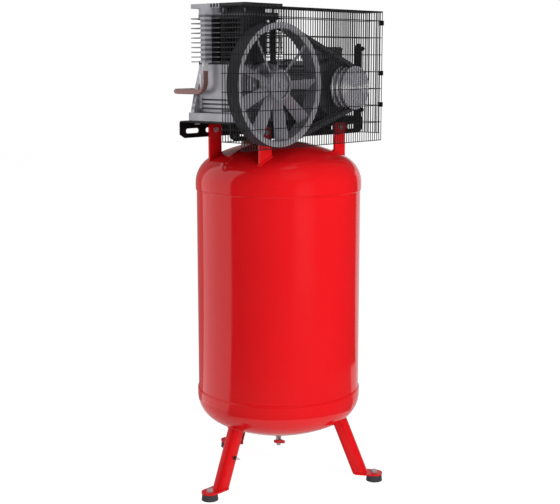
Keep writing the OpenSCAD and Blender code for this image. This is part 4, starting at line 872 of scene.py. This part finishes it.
# %% Left leg
LEG_FINISHES = [leg_enamel, near_black_metal, nickel_and_highlight]
STUD_REACH = 0.0148
TIP_REACH = 0.0062
STUD_ABOVE = 0.06
STUD_STRETCH = 1.7
shape = copied("left_leg")
stud_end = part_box("left_leg")[0].y
stud_root = stud_end + STUD_REACH
for face in shape.faces:
    spot = face.calc_center_median()
    if spot.z > STUD_ABOVE and spot.y < stud_root:
        finish = nickel_and_highlight if spot.y < stud_end + TIP_REACH else near_black_metal
        face.material_index = LEG_FINISHES.index(finish)
for vert in shape.verts:
    if vert.co.z > STUD_ABOVE and vert.co.y < stud_root:
        vert.co.y = stud_root + (vert.co.y - stud_root) * STUD_STRETCH
stand_in("rounded_left_leg", "left_leg", soften(shape, LEG_EDGE), LEG_FINISHES)

# %% [markdown]
# ## Weld runs
# The posts, the legs and the two tank seams are welded, and the paint covers the beads. A bump could
# hint at a bead, but its outline shows against the tank. So a bead is a curve with a round section,
# because a curve takes a radius for each point, and a small ripple looks like the steps of a weld.

# %% Weld runs
WELD_STEP = 0.004
WELD_RIPPLE = 0.12
WELD_TURN = 2.1
WELD_MERGE = 1e-6


def weld_run(name, path, radius, closed):
    """A painted bead along a path."""
    data = bpy.data.curves.new(name, "CURVE")
    data.dimensions = "3D"
    data.bevel_depth = radius
    data.bevel_resolution = 3
    data.use_fill_caps = True
    line = data.splines.new("POLY")
    line.points.add(len(path) - 1)
    line.use_cyclic_u = closed
    for count, (point, place) in enumerate(zip(line.points, path)):
        point.co = (*place, 1)
        point.radius = 1 + WELD_RIPPLE * math.sin(count * WELD_TURN)
    drawn = put(name + "_line", data)
    shape = bmesh.new()
    shape.from_mesh(drawn.to_mesh())
    drawn.to_mesh_clear()
    bpy.data.objects.remove(drawn)
    bmesh.ops.remove_doubles(shape, verts=shape.verts, dist=WELD_MERGE)
    bmesh.ops.recalc_face_normals(shape, faces=shape.faces)
    finished(name, shape, [enamel], "tank")


print("weld bead ready")

# %% [markdown]
# ## Weld paths
# A weld runs where two parts meet. That line could be typed in, but then it would stay behind when
# the CAD model changes. So it is found on the parts: by rays, by nearest points, and by taking a part
# apart into its separate solids.

# %% Weld paths


def skin(node):
    """The surface of a CAD part, for the nearest spot or the spot that a ray meets."""
    shape = copied(node)
    tree = BVHTree.FromBMesh(shape)
    shape.free()
    return tree


def islands(node):
    """The separate solids of a CAD part, each as a list of points, in the mesh's own order."""
    shape = copied(node)
    left = set(shape.verts)
    found = []
    for first in shape.verts:
        if first not in left:
            continue
        left.remove(first)
        reached = [first]
        for vert in reached:
            for edge in vert.link_edges:
                other = edge.other_vert(vert)
                if other in left:
                    left.remove(other)
                    reached.append(other)
        found.append([vert.co.copy() for vert in reached])
    shape.free()
    return found


def stepped(corners, step):
    """Points along a closed line of corners, about a step apart."""
    path = []
    for start, end in zip(corners, corners[1:] + corners[:1]):
        count = max(1, round((end - start).length / step))
        path += [start.lerp(end, part / count) for part in range(count)]
    return path


print("weld paths ready")

# %% [markdown]
# ## Post welds
# Each post stands on the domed head, so its weld climbs and falls with the dome. The post's outline
# is walked in small steps, and a ray from each step down to the dome gives the path of the bead.

# %% Post welds
POST_WELD = 0.0042
dome = skin("tank_top_head")
for count, spots in enumerate(islands("support_posts")):
    low = Vector((min(c.x for c in spots), min(c.y for c in spots), 0))
    high = Vector((max(c.x for c in spots), max(c.y for c in spots), 0))
    top = max(c.z for c in spots)
    ground = ((low.x, low.y), (high.x, low.y), (high.x, high.y), (low.x, high.y))
    corners = [Vector((x, y, top)) for x, y in ground]
    hits = [dome.ray_cast(spot, (0, 0, -1))[0] for spot in stepped(corners, WELD_STEP)]
    weld_run("post_weld_%d" % count, hits, POST_WELD, True)
print("post welds:", count + 1)

# %% [markdown]
# ## Leg welds
# A pressed leg meets the bowl of the tank along a curved line. The leg's own points that lie on the
# bowl mark where they touch, and the outermost point in each small sector is on the line of the bead.

# %% Leg welds
LEG_WELD = 0.0032
LEG_NEAR = 0.0008
WELD_SECTOR = 9
bowl = skin("tank_bottom_head")
for side in ("left", "right", "rear"):
    spots = [c for part in islands(side + "_leg") for c in part if bowl.find_nearest(c)[3] < LEG_NEAR]
    centre = sum(spots, Vector()) / len(spots)
    out = Vector((centre.x - tank_axis.x, centre.y - tank_axis.y, 0)).normalized()
    across = Vector((-out.y, out.x, 0))
    rim = {}
    for c in spots:
        turn = math.atan2((c - centre).dot(across), (c - centre).dot(out))
        step = round(math.degrees(turn) / WELD_SECTOR)
        if step not in rim or (c - centre).length > (rim[step] - centre).length:
            rim[step] = c
    weld_run(side + "_leg_weld", [rim[step] for step in sorted(rim)], LEG_WELD, False)
print("leg welds: 3")

# %% [markdown]
# ## Seam welds
# Each tank seam is a full circle. A curve could draw it too, but a small circle that is spun all the
# way round the tank's axis closes on itself with no joint to be seen.

# %% Seam welds
SEAM_WELD = 0.0027
SEAM_IN = 0.0030
SEAM_STEPS = 240
SEAM_SIDES = 10


def seam_weld(name, height):
    """A bead round the tank, a small circle spun all the way round the tank's axis."""
    shape = bmesh.new()
    section = bmesh.ops.create_circle(shape, radius=SEAM_WELD, segments=SEAM_SIDES)["verts"]
    bmesh.ops.rotate(shape, cent=(0, 0, 0), matrix=Matrix.Rotation(math.pi / 2, 3, "X"), verts=section)
    bmesh.ops.translate(shape, vec=(tank_axis.x + tank_radius - SEAM_IN, tank_axis.y, height),
                        verts=section)
    bmesh.ops.spin(shape, geom=shape.verts[:] + shape.edges[:], cent=(tank_axis.x, tank_axis.y, 0),
                   axis=(0, 0, 1), angle=math.tau, steps=SEAM_STEPS, use_merge=True)
    bmesh.ops.recalc_face_normals(shape, faces=shape.faces)
    finished(name, shape, [enamel], "tank")


seam_weld("lower_seam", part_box("tank_bottom_head")[1].z)
seam_weld("upper_seam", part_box("tank_top_head")[0].z)
print("seam welds: 2")

# %% [markdown]
# ## Gauge dial
# The gauge on the hidden side has a white dial with plain scale marks behind its needle. A picture on
# a disc could show the marks, but thin raised bars stay sharp from close by. The dial is a ring from
# two bridged circles, so the needle's pin passes through.

# %% Gauge dial
DIAL_RADIUS = 0.0215
DIAL_HOLE = 0.0026
DIAL_FLOOR = 0.0021
DIAL_THICK = 0.0005
DIAL_SIDES = 96
MARKS = 28
LONG_EVERY = 3
MARK_FIRST = 135
MARK_TURN = 10
MARK_IN = 0.0035
MARK_SIZE = (0.0005, 0.0024, 0.0003)
LONG_MARK_SIZE = (0.0005, 0.0040, 0.0003)

dial_white = Finish("dial_white", (0.72, 0.71, 0.68), 0.5)
dial_white.drift(dial_white.noise(60.0), (0.68, 0.67, 0.64))
dial_white.gloss(dial_white.noise(90.0), 0.44, 0.58)
DIAL_FINISHES = [dial_white, plastic]
needle = next(j for j in frame["joints"] if j["name"] == "needle_sweep")
facing = -Vector(needle["axis"])
dial_turn = Vector((0, 0, 1)).rotation_difference(facing).to_matrix().to_4x4()
shape = bmesh.new()
bmesh.ops.create_circle(shape, radius=DIAL_RADIUS, segments=DIAL_SIDES)
bmesh.ops.create_circle(shape, radius=DIAL_HOLE, segments=DIAL_SIDES)
bmesh.ops.bridge_loops(shape, edges=shape.edges[:])
bmesh.ops.recalc_face_normals(shape, faces=shape.faces)
bmesh.ops.solidify(shape, geom=shape.faces[:], thickness=DIAL_THICK)
dial_top = max(v.co.z for v in shape.verts)
for count in range(MARKS):
    half = Vector(MARK_SIZE if count % LONG_EVERY else LONG_MARK_SIZE) / 2
    place = Vector((0, DIAL_RADIUS - MARK_IN, dial_top))
    mark = boxed(shape, place - half, place + half)
    bmesh.ops.rotate(shape, cent=(0, 0, 0), verts=mark,
                     matrix=Matrix.Rotation(math.radians(MARK_FIRST - count * MARK_TURN), 3, "Z"))
    for face in {face for vert in mark for face in vert.link_faces}:
        face.material_index = DIAL_FINISHES.index(plastic)
bmesh.ops.transform(shape, matrix=Matrix.Translation(joint_place["needle_sweep"] + facing * DIAL_FLOOR)
                    @ dial_turn, verts=shape.verts)
finished("gauge_dial", shape, DIAL_FINISHES, "tank")
print("dial marks:", MARKS)
